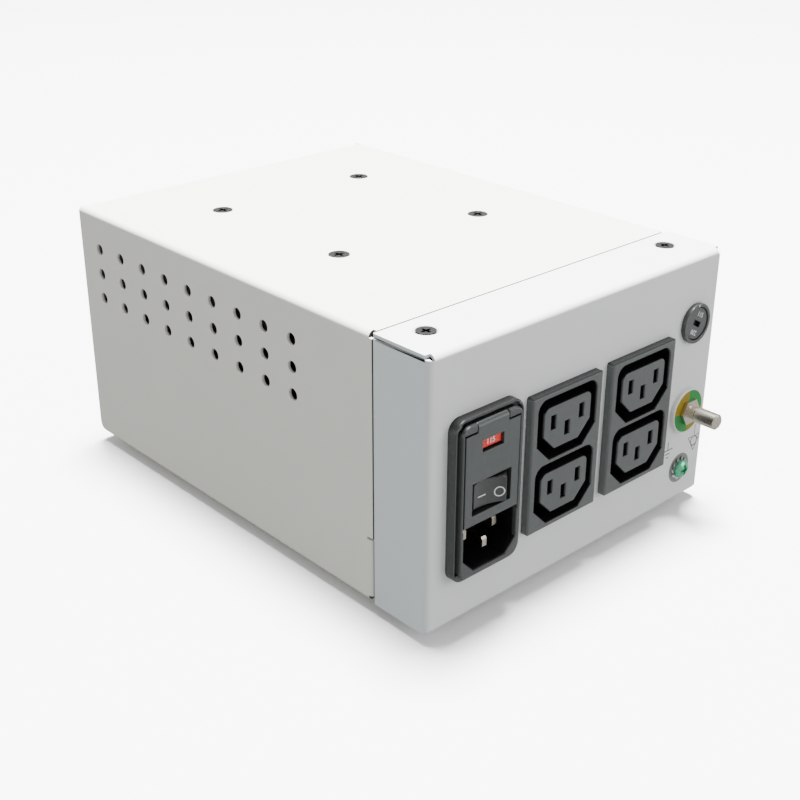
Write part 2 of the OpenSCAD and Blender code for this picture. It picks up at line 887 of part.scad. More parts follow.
// Pan-head screws that hold the feet from below
module foot_screws() {
    color("silver")
        at_feet()
            translate([0, 0, foot_well_h - foot_h])
                difference() {
                    union() {
                        translate([0, 0, -foot_screw_head_h])
                            cylinder(d = foot_screw_head_d, h = foot_screw_head_h);
                        cylinder(d = screw_d, h = foot_screw_len);
                    }
                    translate([0, 0, -foot_screw_head_h])
                        rotate([180, 0, 0])
                            cross_recess(recess_span, recess_w, recess_depth);
                }
}

// Nuts of the feet, on the base plate
module foot_nuts() {
    color("silver")
        at_feet()
            translate([0, 0, 2 * sheet_t])
                nut(nut_w, nut_h, screw_d);
}

// Countersunk screws from the cover's flanges into the base plate
module base_screws() {
    color("dimgray")
        at_base_screws()
            rotate([180, 0, 0])
                countersunk_screw(base_screw_d, base_head_d, base_head_h, base_screw_len);
}

// Nuts of the base screws
module base_nuts() {
    color("silver")
        at_base_screws()
            translate([0, 0, 2 * sheet_t])
                nut(base_nut_w, base_nut_h, base_screw_d);
}

// The four black screws in the top, which hang the transformer
module top_screws() {
    color("black")
        at_hanging_screws()
            countersunk_screw(screw_d, screw_head_d, screw_head_h, screw_len);
}

// Nuts of the hanging screws, under the bracket feet
module top_nuts() {
    color("silver")
        at_hanging_screws()
            translate([0, 0, -sheet_t - bracket_t - nut_h])
                nut(nut_w, nut_h, screw_d);
}

// The two screws that hold the front pan
module pan_screws() {
    color("black")
        at_pan_screws()
            countersunk_screw(screw_d, screw_head_d, screw_head_h, pan_screw_len);
}

// A prism between two heights of the module, in the panel's frame
module block_prism(half_w, low, high, back, front) {
    translate([-half_w, low, back])
        cube([2 * half_w, high - low, front - back]);
}

// Places of the three contacts of a coupler whose middle is at the origin
module at_power_contacts() {
    for (sx = [-1, 1])
        translate([sx * contact_pitch / 2, row_rise, 0])
            children();
}

// Sprung latches on the two sides of a snap-in body
module side_latches(w) {
    both_sides()
        translate([w / 2, latch_h / 2, -sheet_t])
            rotate([90, 0, 0])
                linear_extrude(latch_h)
                    polygon([[-latch_out, 0], [latch_out, 0], [-latch_out, -latch_len]]);
}

// Moulded body of the power inlet, with the ears of the fuse door
module inlet_body() {
    block_bottom = flange_z + block_low;
    block_h = block_top - block_bottom;
    line_w = block_w + 2 * moat_line;
    shell_bottom = flange_z + shell_low;
    shell_h = flange_h - shell_low - shell_top;
    front = face_t + overrun;
    pin_len = 2 * (ear_half + hinge_pin_seat);
    color("dimgray")
        on_panel()
            translate([module_x, 0, 0])
                difference() {
                    union() {
                        translate([0, flange_z + flange_h / 2, 0])
                            linear_extrude(flange_t)
                                rounded_rect(flange_w, flange_h, flange_r);
                        translate([0, block_bottom + block_h / 2, 0])
                            linear_extrude(face_t)
                                rounded_rect(block_w, block_h, block_r);
                        translate([0, shell_bottom + shell_h / 2, -module_depth])
                            linear_extrude(module_depth)
                                rounded_rect(shell_w, shell_h, shell_r);
                        translate([0, shell_bottom + shell_h / 2, 0])
                            side_latches(shell_w);
                    }
                    // Fine groove between the rim and the raised face
                    translate([0, 0, flange_t - moat_line_depth])
                        linear_extrude(front)
                            difference() {
                                translate([0, block_bottom + block_h / 2])
                                    rounded_rect(line_w, block_h + 2 * moat_line, block_r + moat_line);
                                translate([0, block_bottom + block_h / 2])
                                    rounded_rect(block_w, block_h, block_r);
                                translate([-flange_w / 2, 0])
                                    square([flange_w, flange_z + moat_line_end]);
                            }
                    both_sides()
                        translate([slot_x - slot_w / 2, block_top, flange_t - slot_depth])
                            cube([slot_w, moat_line, slot_depth + overrun]);
                    // Pocket of the door, up to the ears and between them
                    block_prism(door_w / 2 + ear_gap, socket_top - overrun, ear_low, door_floor, front);
                    block_prism(ear_half, ear_low - overrun, block_top + moat_line, door_floor, front);
                    translate([-ear_half, hinge_z, hinge_t])
                        rotate([0, 90, 0])
                            cylinder(r = knuckle_r + knuckle_clear, h = 2 * ear_half);
                    translate([0, hinge_z, hinge_t])
                        rotate([0, 90, 0])
                            cylinder(d = hinge_pin_d - 2 * press, h = pin_len, center = true);
                    // Pockets of the fuse carrier and of the switch
                    block_prism(
                        carrier_w / 2 + carrier_clear, carrier_z - carrier_clear,
                        carrier_z + carrier_h + carrier_clear, carrier_back - carrier_clear, front
                    );
                    block_prism(
                        frame_w / 2 + frame_clear, rocker_z - frame_h / 2 - frame_clear,
                        rocker_z + frame_h / 2 + frame_clear, -frame_depth, front
                    );
                    for (sx = [-1, 1], sy = [-1, 1])
                        translate([sx * switch_tab_x, rocker_z + sy * switch_tab_z])
                            translate([0, 0, -module_depth - overrun])
                                linear_extrude(module_depth)
                                    square([tab_w, tab_t], center = true);
                    // Cavity of the inlet and the seats of its contacts
                    translate([0, socket_mid, face_t - socket_depth])
                        linear_extrude(socket_depth + overrun)
                            coupler_outline(socket_w, socket_h, socket_corner_r, socket_chamfer);
                    translate([0, socket_mid, -module_depth - overrun])
                        linear_extrude(module_depth) {
                            at_power_contacts()
                                square([blade_w, blade_h], center = true);
                            translate([0, -row_rise])
                                square([blade_w, blade_h], center = true);
                        }
                }
}

// One flat contact pin with its rear tab; its tip is bevelled
module inlet_blade(tip) {
    translate([-blade_w / 2, 0, 0])
        along_x(blade_w)
            polygon([
                [-blade_h / 2, -module_depth], [blade_h / 2, -module_depth],
                [blade_h / 2, tip - blade_tip], [blade_h / 2 - blade_tip, tip],
                [blade_tip - blade_h / 2, tip], [-blade_h / 2, tip - blade_tip]
            ]);
    translate([-tab_t / 2, -tab_w / 2, -module_depth - tab_len])
        cube([tab_t, tab_w, tab_len]);
}

// The three contact pins of the inlet; the earth pin stands further out
module inlet_pins() {
    color("silver")
        on_panel()
            translate([module_x, socket_mid, 0]) {
                at_power_contacts()
                    inlet_blade(face_t - power_recess);
                translate([0, -row_rise, 0])
                    inlet_blade(face_t - earth_recess);
            }
}

// Frame of the rocker switch, in the module's pocket
module switch_frame() {
    color("dimgray")
        on_panel()
            translate([module_x, rocker_z, 0])
                difference() {
                    block_prism(frame_w / 2, -frame_h / 2, frame_h / 2, -frame_depth, door_floor);
                    block_prism(
                        frame_w / 2 - frame_wall_x, frame_wall_z - frame_h / 2, frame_h / 2 - frame_wall_z,
                        rocker_pivot_t - rocker_well, door_floor + overrun
                    );
                    translate([0, 0, rocker_pivot_t])
                        rotate([90, 0, 0])
                            cylinder(d = pivot_d - 2 * press, h = frame_h + 2 * overrun, center = true);
                }
}

// Rear tabs of the switch
module switch_terminals() {
    tab_end_t = -module_depth - tab_len;
    color("silver")
        on_panel()
            for (sx = [-1, 1], sy = [-1, 1])
                translate([module_x + sx * switch_tab_x, rocker_z + sy * switch_tab_z, tab_end_t])
                    linear_extrude(-frame_depth - tab_end_t)
                        square([tab_w, tab_t], center = true);
}

// Section of the rocker across its pivot, which is at the origin
module rocker_section() {
    difference() {
        polygon([
            [-rocker_half, rocker_apex + rocker_dish], [rocker_half, rocker_apex + rocker_dish],
            rocker_shoulder, rocker_waist, [rocker_toe.x, rocker_toe.y],
            [-rocker_toe.x, rocker_toe.y], [-rocker_waist.x, rocker_waist.y],
            [-rocker_shoulder.x, rocker_shoulder.y]
        ]);
        translate([0, rocker_apex + dish_r])
            circle(r = dish_r, $fn = 96);
    }
}

// Rocker of the power switch: dished face, drawn-in flanks, right end out at rest
module rocker() {
    color("darkslategray")
        on_panel()
            translate([module_x, rocker_z, rocker_pivot_t])
                rotate([0, -rocker_swing / 2, 0])
                    difference() {
                        intersection() {
                            rotate([90, 0, 0])
                                linear_extrude(rocker_base_h, center = true)
                                    rocker_section();
                            translate([-rocker_shoulder.x, 0, 0])
                                along_x(2 * rocker_shoulder.x)
                                    polygon([
                                        [-rocker_base_h / 2, rocker_toe.y],
                                        [rocker_base_h / 2, rocker_toe.y],
                                        [rocker_base_h / 2, rocker_shoulder.y],
                                        [rocker_face_h / 2, rocker_apex + rocker_dish],
                                        [-rocker_face_h / 2, rocker_apex + rocker_dish],
                                        [-rocker_base_h / 2, rocker_shoulder.y]
                                    ]);
                        }
                        rotate([90, 0, 0])
                            cylinder(d = pivot_d + 2 * running, h = rocker_base_h + overrun, center = true);
                    }
}

// Steel pin on which the rocker turns
module rocker_pivot() {
    color("silver")
        on_panel()
            translate([module_x, rocker_z, rocker_pivot_t])
                rotate([90, 0, 0])
                    cylinder(d = pivot_d, h = frame_h, center = true);
}

// Fuse door with its hinge knuckle, rocker opening and voltage window
module fuse_door() {
    neck_half = ear_half - ear_gap;
    top = ear_low - ear_line_gap;
    color("dimgray")
        on_panel()
            translate([module_x, 0, 0])
                difference() {
                    union() {
                        difference() {
                            block_prism(door_w / 2, door_low, top, door_back, face_t);
                            translate([0, hinge_z, hinge_t])
                                rotate([0, 90, 0])
                                    cylinder(r = ear_corner + ear_clear, h = 2 * door_w, center = true);
                        }
                        block_prism(neck_half, top - ear_h, hinge_z, door_back, face_t);
                        translate([0, hinge_z, hinge_t])
                            rotate([0, 90, 0])
                                cylinder(r = knuckle_r, h = 2 * neck_half, center = true);
                    }
                    translate([0, hinge_z, hinge_t])
                        rotate([0, 90, 0])
                            cylinder(d = hinge_pin_d + 2 * running, h = 2 * door_w, center = true);
                    block_prism(
                        rocker_open_w / 2, rocker_z - rocker_open_h / 2, rocker_z + rocker_open_h / 2,
                        door_back - overrun, face_t + overrun
                    );
                    block_prism(
                        window_view_w / 2, window_z - window_view_h / 2, window_z + window_view_h / 2,
                        door_back - overrun, face_t + overrun
                    );
                }
}

// Hinge pin of the fuse door, seated in the two ears
module door_hinge_pin() {
    color("silver")
        on_panel()
            translate([module_x, hinge_z, hinge_t])
                rotate([0, 90, 0])
                    cylinder(d = hinge_pin_d, h = 2 * (ear_half + hinge_pin_seat), center = true);
}

// Carrier behind the door, with two fuse channels and the insert's recess
module fuse_carrier() {
    color("darkslategray")
        on_panel()
            translate([module_x, 0, 0])
                difference() {
                    block_prism(
                        carrier_w / 2, carrier_z, carrier_z + carrier_h,
                        carrier_back, carrier_front
                    );
                    both_sides()
                        translate([fuse_x, fuse_z, carrier_front - fuse_len - fuse_bore_clear])
                            cylinder(d = fuse_d + 2 * fuse_bore_clear, h = carrier_depth);
                    block_prism(
                        insert_w / 2, window_z - insert_h / 2, window_z + insert_h / 2,
                        carrier_front - insert_depth, carrier_front + overrun
                    );
                }
}

// Places of the two fuses, at their rear ends
module at_fuses() {
    on_panel()
        translate([module_x, fuse_z, carrier_front - fuse_len - fuse_bore_clear / 2])
            both_sides()
                translate([fuse_x, 0, 0])
                    children();
}

// Glass tubes of the fuses
module fuse_tubes() {
    color("lightcyan")
        at_fuses()
            translate([0, 0, fuse_cap_t])
                cylinder(d = fuse_d - 2 * fuse_cap_t, h = fuse_len - 2 * fuse_cap_t);
}

// Metal caps on both ends of the fuses
module fuse_caps() {
    color("silver")
        at_fuses()
            difference() {
                cylinder(d = fuse_d, h = fuse_len);
                translate([0, 0, fuse_cap_t])
                    cylinder(d = fuse_d - 2 * fuse_cap_t, h = fuse_len - 2 * fuse_cap_t);
                translate([0, 0, fuse_cap_len])
                    cylinder(d = fuse_d + overrun, h = fuse_len - 2 * fuse_cap_len);
            }
}

// Red insert that shows in the door's window
module voltage_insert() {
    color("red")
        on_panel()
            translate([module_x, 0, 0])
                block_prism(
                    insert_w / 2 - insert_clear, window_z - insert_h / 2 + insert_clear,
                    window_z + insert_h / 2 - insert_clear, carrier_front - insert_depth, carrier_front
                );
}

// A plate standing on z = 0 with its four front edges bevelled
module bevelled_plate(w, h, t, edge) {
    intersection() {
        translate([-w / 2, 0, 0])
            along_x(w)
                bevel_section(h, t, edge);
        translate([0, h / 2, 0])
            rotate([90, 0, 0])
                linear_extrude(h)
                    bevel_section(w, t, edge);
    }
}

// Section of a bevelled plate
module bevel_section(span, t, edge) {
    polygon([
        [-span / 2, 0], [span / 2, 0], [span / 2, t - edge],
        [span / 2 - edge, t], [edge - span / 2, t], [-span / 2, t - edge]
    ]);
}

// Places of the upper and lower outlet's middle
module at_two_outlets() {
    for (sy = [-1, 1])
        translate([0, sy * outlet_pitch_z / 2, 0])
            children();
}

// Cells for the three contacts of one outlet
module contact_cells(w, h) {
    at_power_contacts()
        square([w, h], center = true);
    translate([0, -row_rise])
        square([w, h], center = true);
}

// Double outlet block: a moat round each tongue, and slots for the contacts
module outlet_block(i) {
    shell_x = moat_w + 2 * outlet_shell_wall;
    shell_y = moat_h + outlet_pitch_z + 2 * outlet_shell_wall;
    color("dimgray")
        on_panel()
            translate([outlet_x + i * outlet_pitch_x, outlet_z, 0])
                difference() {
                    union() {
                        intersection() {
                            bevelled_plate(outlet_w, outlet_h, outlet_t, outlet_edge);
                            linear_extrude(outlet_t)
                                rounded_rect(outlet_w, outlet_h, outlet_corner_r);
                        }
                        translate([0, 0, -outlet_depth])
                            linear_extrude(outlet_depth)
                                rounded_rect(shell_x, shell_y, shell_r);
                        side_latches(shell_x);
                    }
                    at_two_outlets() {
                        translate([0, 0, outlet_t - moat_depth])
                            linear_extrude(moat_depth + overrun)
                                difference() {
                                    coupler_outline(moat_w, moat_h, moat_r, moat_chamfer);
                                    coupler_outline(
                                        outlet_tongue_w, outlet_tongue_h, tongue_r, tongue_chamfer
                                    );
                                }
                        translate([0, 0, -outlet_depth])
                            linear_extrude(outlet_depth + outlet_t + overrun)
                                contact_cells(slot_wide, slot_tall);
                        translate([0, 0, -outlet_depth - overrun])
                            linear_extrude(outlet_depth + overrun + outlet_t - slot_land)
                                contact_cells(sleeve_cell_w, sleeve_cell_h);
                    }
                }
}

module outlet_block_left() {
    outlet_block(0);
}

module outlet_block_right() {
    outlet_block(1);
}

// Brass sleeves of both outlets of a block on one strip, with a tab at the rear
module contact_strip(x, y) {
    sleeve_out = [sleeve_cell_w - 2 * sleeve_clear, sleeve_cell_h - 2 * sleeve_clear];
    sleeve_in = [sleeve_out.x - 2 * sleeve_wall, sleeve_out.y - 2 * sleeve_wall];
    translate([x, y, 0]) {
        at_two_outlets()
            translate([0, 0, -outlet_depth])
                linear_extrude(outlet_depth + outlet_t - slot_land - sleeve_clear)
                    difference() {
                        square(sleeve_out, center = true);
                        square(sleeve_in, center = true);
                    }
        translate([-strip_bar_w / 2, -outlet_pitch_z / 2 - strip_bar_w / 2, -outlet_depth - tab_t])
            cube([strip_bar_w, outlet_pitch_z + strip_bar_w, tab_t]);
        translate([-tab_t / 2, -tab_w / 2, -outlet_depth - tab_t - tab_len])
            cube([tab_t, tab_w, tab_len]);
    }
}

// Contacts of the four outlets
module outlet_contacts() {
    color("goldenrod")
        on_panel()
            for (i = [0, 1])
                translate([outlet_x + i * outlet_pitch_x, outlet_z, 0]) {
                    contact_strip(-contact_pitch / 2, row_rise);
                    contact_strip(contact_pitch / 2, row_rise);
                    contact_strip(0, -row_rise);
                }
}

// Places on the right column
module on_column(z) {
    on_panel()
        translate([column_x, z, 0])
            children();
}

// Fixed ring and housing of the voltage selector
module selector_body() {
    face_floor = selector_t - rotor_face_low - rotor_face_t - selector_fit;
    color("dimgray")
        on_column(selector_z)
            difference() {
                union() {
                    cylinder(d = selector_d, h = selector_t);
                    translate([0, 0, -selector_shell_len])
                        cylinder(d = selector_shell_d, h = selector_shell_len);
                }
                translate([0, 0, face_floor])
                    cylinder(d = rotor_d + 2 * selector_fit, h = selector_t - face_floor + overrun);
                translate([0, 0, face_floor - rotor_shaft_len])
                    cylinder(d = rotor_shaft_d + 2 * running, h = rotor_shaft_len + overrun);
            }
}

// Rotor of the selector, turned with a screwdriver in its slot
module selector_rotor() {
    face_top = selector_t - rotor_face_low;
    color("gray")
        on_column(selector_z)
            difference() {
                union() {
                    translate([0, 0, face_top - rotor_face_t])
                        cylinder(d = rotor_d, h = rotor_face_t);
                    translate([0, 0, face_top - rotor_face_t - rotor_shaft_len])
                        cylinder(d = rotor_shaft_d, h = rotor_shaft_len + overrun);
                }
                rotate([0, 0, rotor_slot_angle])
                    translate([-rotor_slot_w / 2, -rotor_slot_h / 2, face_top - rotor_slot_depth])
                        cube([rotor_slot_w, rotor_slot_h, rotor_slot_depth + overrun]);
            }
}

// Rear tabs of the selector
module selector_terminals() {
    tab_end_t = -selector_shell_len - selector_tab_len;
    color("silver")
        on_column(selector_z)
            for (a = selector_tab_angles)
                rotate([0, 0, a])
                    translate([selector_tab_r - tab_t / 2, -selector_tab_w / 2, tab_end_t])
                        cube([tab_t, selector_tab_w, selector_tab_len]);
}

// Bonding pin: stud, hexagon, neck and the pin itself with bevelled ends
module bonding_pin() {
    hex_end = disc_t + pin_hex_t;
    neck_end = hex_end + pin_neck_len;
    color("silver")
        on_column(bonding_z) {
            translate([0, 0, -stud_len])
                cylinder(d = stud_d, h = stud_len + disc_t);
            translate([0, 0, disc_t])
                cylinder(d = pin_hex_w / cos(30), h = pin_hex_t, $fn = 6);
            translate([0, 0, hex_end])
                cylinder(d = pin_neck_d, h = pin_neck_len);
            translate([0, 0, neck_end])
                cylinder(d1 = pin_neck_d, d2 = pin_d, h = pin_chamfer);
            translate([0, 0, neck_end + pin_chamfer])
                cylinder(d = pin_d, h = pin_reach - neck_end - 2 * pin_chamfer);
            translate([0, 0, pin_reach - pin_chamfer])
                cylinder(d1 = pin_d, d2 = pin_d - 2 * pin_chamfer, h = pin_chamfer);
        }
}

// Disc behind the pin, green and yellow in turn
module bonding_disc() {
    color("yellowgreen")
        on_column(bonding_z)
            difference() {
                cylinder(d = disc_d, h = disc_t);
                translate([0, 0, -overrun])
                    cylinder(d = stud_d + 2 * stud_fit, h = disc_t + 2 * overrun);
            }
}

// Ring lug behind the panel; each arm ends in a crimp barrel that points back
module ring_lug(stud, angles) {
    difference() {
        union() {
            cylinder(d = lug_d, h = lug_t);
            for (a = angles)
                rotate([0, 0, a])
                    translate([0, -lug_neck_w / 2, 0])
                        cube([lug_len, lug_neck_w, lug_t]);
        }
        translate([0, 0, -overrun])
            cylinder(d = stud + 2 * stud_fit, h = lug_t + 2 * overrun);
    }
    for (a = angles)
        rotate([0, 0, a])
            translate([lug_len, 0, lug_t - barrel_len])
                cylinder(d = barrel_d, h = barrel_len);
}

module bonding_lug() {
    color("silver")
        on_column(bonding_z)
            translate([0, 0, -sheet_t - lug_t])
                ring_lug(stud_d, bonding_lug_angles);
}

module bonding_nut() {
    color("silver")
        on_column(bonding_z)
            translate([0, 0, -sheet_t - lug_t - bonding_nut_h])
                nut(bonding_nut_w, bonding_nut_h, stud_d);
}

// Green earth screw with a domed head and a cross recess
module earth_screw() {
    color("seagreen")
        on_column(earth_screw_z)
            difference() {
                union() {
                    intersection() {
                        translate([0, 0, washer_t])
                            cylinder(d = earth_head_d, h = earth_head_h);
                        translate([0, 0, washer_t + earth_head_h - earth_dome_r])
                            sphere(r = earth_dome_r);
                    }
                    translate([0, 0, -earth_screw_len])
                        cylinder(d = earth_screw_d, h = earth_screw_len + washer_t);
                }
                translate([0, 0, washer_t + earth_head_h])
                    cross_recess(earth_recess_span, earth_recess_w, earth_recess_depth);
            }
}

// Toothed lock washer under the earth screw
module earth_star_washer() {
    color("silver")
        on_column(earth_screw_z)
            difference() {
                union() {
                    cylinder(d = washer_d - 2 * tooth_len, h = washer_t);
                    for (i = [0 : washer_teeth - 1])
                        rotate([0, 0, i * 360 / washer_teeth])
                            translate([washer_d / 2 - 2 * tooth_len, -tooth_w / 2, 0])
                                cube([2 * tooth_len, tooth_w, washer_t]);
                }
                translate([0, 0, -overrun])
                    cylinder(d = earth_screw_d + 2 * screw_clear, h = washer_t + 2 * overrun);
            }
}

module earth_lug() {
    color("silver")
        on_column(earth_screw_z)
            translate([0, 0, -sheet_t - lug_t])
                ring_lug(earth_screw_d, earth_lug_angles);
}

module earth_nut() {
    color("silver")
        on_column(earth_screw_z)
            translate([0, 0, -sheet_t - lug_t - earth_nut_h])
                nut(earth_nut_w, earth_nut_h, earth_screw_d);
}

// The transformer's own frame, at the middle of its core
module at_core() {
    translate([core_x, core_y, core_z])
        children();
}

// Places of the core's four clamping bolts, in a plane across the stack
module at_bolt_pattern() {
    for (sx = [-1, 1], sz = [-1, 1])
        translate([sx * bolt_x / 2, sz * bolt_z / 2])
            children();
}

// Stack of laminations with its two windows
module core_stack() {
    color("dimgray")
        at_core()
            translate([0, stack_t / 2, 0])
                rotate([90, 0, 0])
                    linear_extrude(stack_t)
                        difference() {
                            square([core_w, core_h], center = true);
                            for (sx = [-1, 1])
                                translate([sx * (tongue_w + window_w) / 2, 0])
                                    square([window_w, window_h], center = true);
                            at_bolt_pattern()
                                circle(d = core_bolt_d + 2 * screw_clear);
                        }
}

// Bobbin with two chambers, one above the other, that keep the windings apart
module bobbin() {
    color("ivory")
        at_core()
            difference() {
                union() {
                    translate([-sleeve_w / 2, -sleeve_y / 2, -bobbin_h / 2])
                        cube([sleeve_w, sleeve_y, bobbin_h]);
                    for (k = [-1, 0, 1])
                        translate([0, 0, k * (bobbin_h - bobbin_wall) / 2 - bobbin_wall / 2])
                            linear_extrude(bobbin_wall)
                                rounded_rect(bobbin_x, bobbin_y, coil_corner_r / 2);
                }
                linear_extrude(bobbin_h + 2 * overrun, center = true)
                    square([sleeve_w - 2 * bobbin_wall, sleeve_y - 2 * bobbin_wall], center = true);
            }
}

// One winding, in the lower (-1) or the upper (1) chamber
module winding(side) {
    at_core()
        translate([0, 0, side * (chamber_h + bobbin_wall) / 2])
            linear_extrude(chamber_h - 2 * coil_gap, center = true)
                difference() {
                    rounded_rect(sleeve_w + 2 * coil_build, sleeve_y + 2 * coil_build, coil_corner_r);
                    square([sleeve_w + 2 * coil_gap, sleeve_y + 2 * coil_gap], center = true);
                }
}

module primary_winding() {
    color("peru")
        winding(-1);
}

module secondary_winding() {
    color("orange")
        winding(1);
}

// Pressed bracket on the front of the stack; its feet carry the core's weight
module core_bracket() {
    plate_top = core_h / 2 + core_air;
    foot_len = hang_pitch / 2 + hang_foot_past - stack_t / 2;
    open_w = tongue_w + 2 * window_w + 2 * bracket_margin;
    open_h = window_h + 2 * bracket_margin;
    difference() {
        union() {
            translate([-core_w / 2, -stack_t / 2 - bracket_t, -core_h / 2])
                cube([core_w, bracket_t, core_h / 2 + plate_top]);
            for (sx = [-1, 1])
                translate([sx * hang_pitch / 2, -stack_t / 2 - foot_len, plate_top - bracket_t])
                    translate([-hang_foot_w / 2, 0, 0])
                        cube([hang_foot_w, foot_len, bracket_t]);
        }
        cube([open_w, 2 * stack_t, open_h], center = true);
        rotate([90, 0, 0])
            linear_extrude(stack_t)
                at_bolt_pattern()
                    circle(d = core_bolt_d + 2 * screw_clear);
        for (sx = [-1, 1])
            translate([sx * hang_pitch / 2, -hang_pitch / 2, plate_top + sheet_t])
                countersink(screw_d, screw_head_d, screw_head_h, sheet_t + bracket_t);
    }
}

module bracket_front() {
    color("silver")
        at_core()
            core_bracket();
}

module bracket_rear() {
    color("silver")
        at_core()
            mirror([0, 1, 0])
                core_bracket();
}

// Bolts through the brackets and the stack
module core_bolts() {
    reach = stack_t / 2 + bracket_t;
    color("silver")
        at_core()
            translate([0, reach + core_bolt_past, 0])
                rotate([90, 0, 0])
                    at_bolt_pattern() {
                        cylinder(d = core_bolt_d, h = 2 * reach + core_bolt_past);
                        translate([0, 0, 2 * reach + core_bolt_past])
                            cylinder(d = core_head_d, h = core_head_h);
                    }
}

// Nuts of the core bolts, on the rear bracket
module core_nuts() {
    color("silver")
        at_core()
            translate([0, stack_t / 2 + bracket_t + core_nut_h, 0])
                rotate([90, 0, 0])
                    at_bolt_pattern()
                        nut(core_head_d, core_nut_h, core_bolt_d);
}

// Solder tags on the front edges of the bobbin's outer flanges
module winding_tags() {
    color("goldenrod")
        for (side = [-1, 1], i = [0 : tag_count - 1])
            translate(tag_end(side, i))
                translate([-tag_w / 2, 0, -tag_t / 2])
                    cube([tag_w, tag_len, tag_t]);
}

// Insulated push-on receptacle over a tab; tall when the tab stands upright
module receptacle(upright) {
    w = upright ? plug_t : plug_w;
    h = upright ? plug_w : plug_t;
    tw = upright ? tab_t : tab_w;
    th = upright ? tab_w : tab_t;
    translate([0, 0, -plug_gap - plug_len])
        linear_extrude(plug_len)
            difference() {
                square([w, h], center = true);
                square([tw, th], center = true);
            }
    translate([0, 0, -plug_gap - plug_len])
        linear_extrude(plug_len + plug_gap - tab_len)
            square([w, h], center = true);
}

// Receptacles on the tabs of the inlet, the switch and the outlets
module wire_receptacles() {
    color("firebrick")
        on_panel() {
            for (p = inlet_tabs)
                translate([p.x, p.y, -module_depth])
                    receptacle(true);
            for (p = switch_tabs)
                translate([p.x, p.y, -module_depth])
                    receptacle(false);
            for (i = [0, 1], p = outlet_tabs(i))
                translate([p.x, p.y, -outlet_depth - tab_t])
                    receptacle(true);
        }
}

// A wire swept along a smooth curve from a to b, leaving them along da and db
module wire(a, da, b, db) {
    pts = [for (i = [0 : wire_rings - 1]) curve_point(a, a + da, b + db, b, i / (wire_rings - 1))];
    last = wire_rings - 1;
    rings = [
        for (i = [0 : last])
            let (
                along = unit(pts[min(i + 1, last)] - pts[max(i - 1, 0)]),
                dir = i == 0 ? unit(da) : i == last ? -unit(db) : along,
                u = unit(cross(dir, sweep_reference)),
                v = cross(dir, u)
            )
            for (k = [0 : wire_sides - 1])
                pts[i] + wire_d / 2 * (cos(k * 360 / wire_sides) * u + sin(k * 360 / wire_sides) * v)
    ];
    sides = [
        for (i = [0 : last - 1], k = [0 : wire_sides - 1])
            let (
                p = i * wire_sides + k,
                q = i * wire_sides + (k + 1) % wire_sides,
                r = p + wire_sides,
                s = q + wire_sides
            )
            each [[p, q, s], [p, s, r]]
    ];
    start = [for (k = [1 : wire_sides - 2]) [0, k + 1, k]];
    base = last * wire_sides;
    end = [for (k = [1 : wire_sides - 2]) [base, base + k, base + k + 1]];
    polyhedron(points = rings, faces = concat(sides, start, end));
}

// Line and neutral: inlet to switch, and switch to the primary winding
module input_wires() {
    color("saddlebrown") {
        for (i = [0, 1])
            wire(
                plug_end(inlet_tabs[i], module_depth), backwards * loop_share,
                plug_end(switch_tabs[i], module_depth), backwards * loop_share
            );
        for (i = [0, 1])
            wire(
                plug_end(switch_tabs[i + 2], module_depth), backwards,
                tag_end(-1, i), forwards
            );
    }
}

// Secondary winding to both outlet blocks
module output_wires() {
    color("black")
        for (i = [0, 1], k = [0, 1])
            wire(
                plug_end(outlet_tabs(i)[k], outlet_depth + tab_t), backwards,
                tag_end(1, 2 * i + k), forwards
            );
}

// Voltage selector to the taps of the primary winding
module selector_wires() {
    color("orangered")
        for (i = [0, 1])
            wire(
                selector_end(i), backwards * selector_share,
                tag_end(-1, i + 2), forwards * loop_share
            );
}

// Protective earth: inlet to the earth lug, outlets to the bonding lug
module earth_wires() {
    color("olivedrab") {
        wire(
            plug_end(inlet_tabs[2], module_depth), backwards * loop_share,
            lug_end(earth_screw_z, earth_lug_angles[0]), backwards * lug_share
        );
        for (i = [0, 1])
            wire(
                plug_end(outlet_tabs(i)[2], outlet_depth + tab_t), backwards,
                lug_end(bonding_z, bonding_lug_angles[i]), backwards * lug_share
            );
    }
}

housing_cover();
seam_strip();
front_pan();
base_plate();
rubber_feet();
foot_screws();
foot_nuts();
base_screws();
base_nuts();
top_screws();
top_nuts();
pan_screws();
inlet_body();
inlet_pins();
switch_frame();
switch_terminals();
rocker();
rocker_pivot();
fuse_door();
door_hinge_pin();
fuse_carrier();
fuse_tubes();
fuse_caps();
voltage_insert();
outlet_block_left();
outlet_block_right();
outlet_contacts();
selector_body();
selector_rotor();
selector_terminals();
bonding_pin();
bonding_disc();
bonding_lug();
bonding_nut();
earth_screw();
earth_star_washer();
earth_lug();
earth_nut();
core_stack();
bobbin();
primary_winding();
secondary_winding();
bracket_front();
bracket_rear();
core_bolts();
core_nuts();
winding_tags();
wire_receptacles();
input_wires();
output_wires();
selector_wires();
earth_wires();
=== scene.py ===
"""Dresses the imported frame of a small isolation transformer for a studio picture.

A size that is a field or an argument is in millimetres unless its name ends in
_m. Places, boxes and meshes are in metres, and so is what a method works out for
them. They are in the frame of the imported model: -Y comes out of the front panel,
+X is to the right seen from the front and +Z is up.
"""
import json
import logging
import math
from dataclasses import dataclass
from enum import Enum
from typing import Callable, Iterable

import bmesh
import bpy
from mathutils import Matrix, Vector


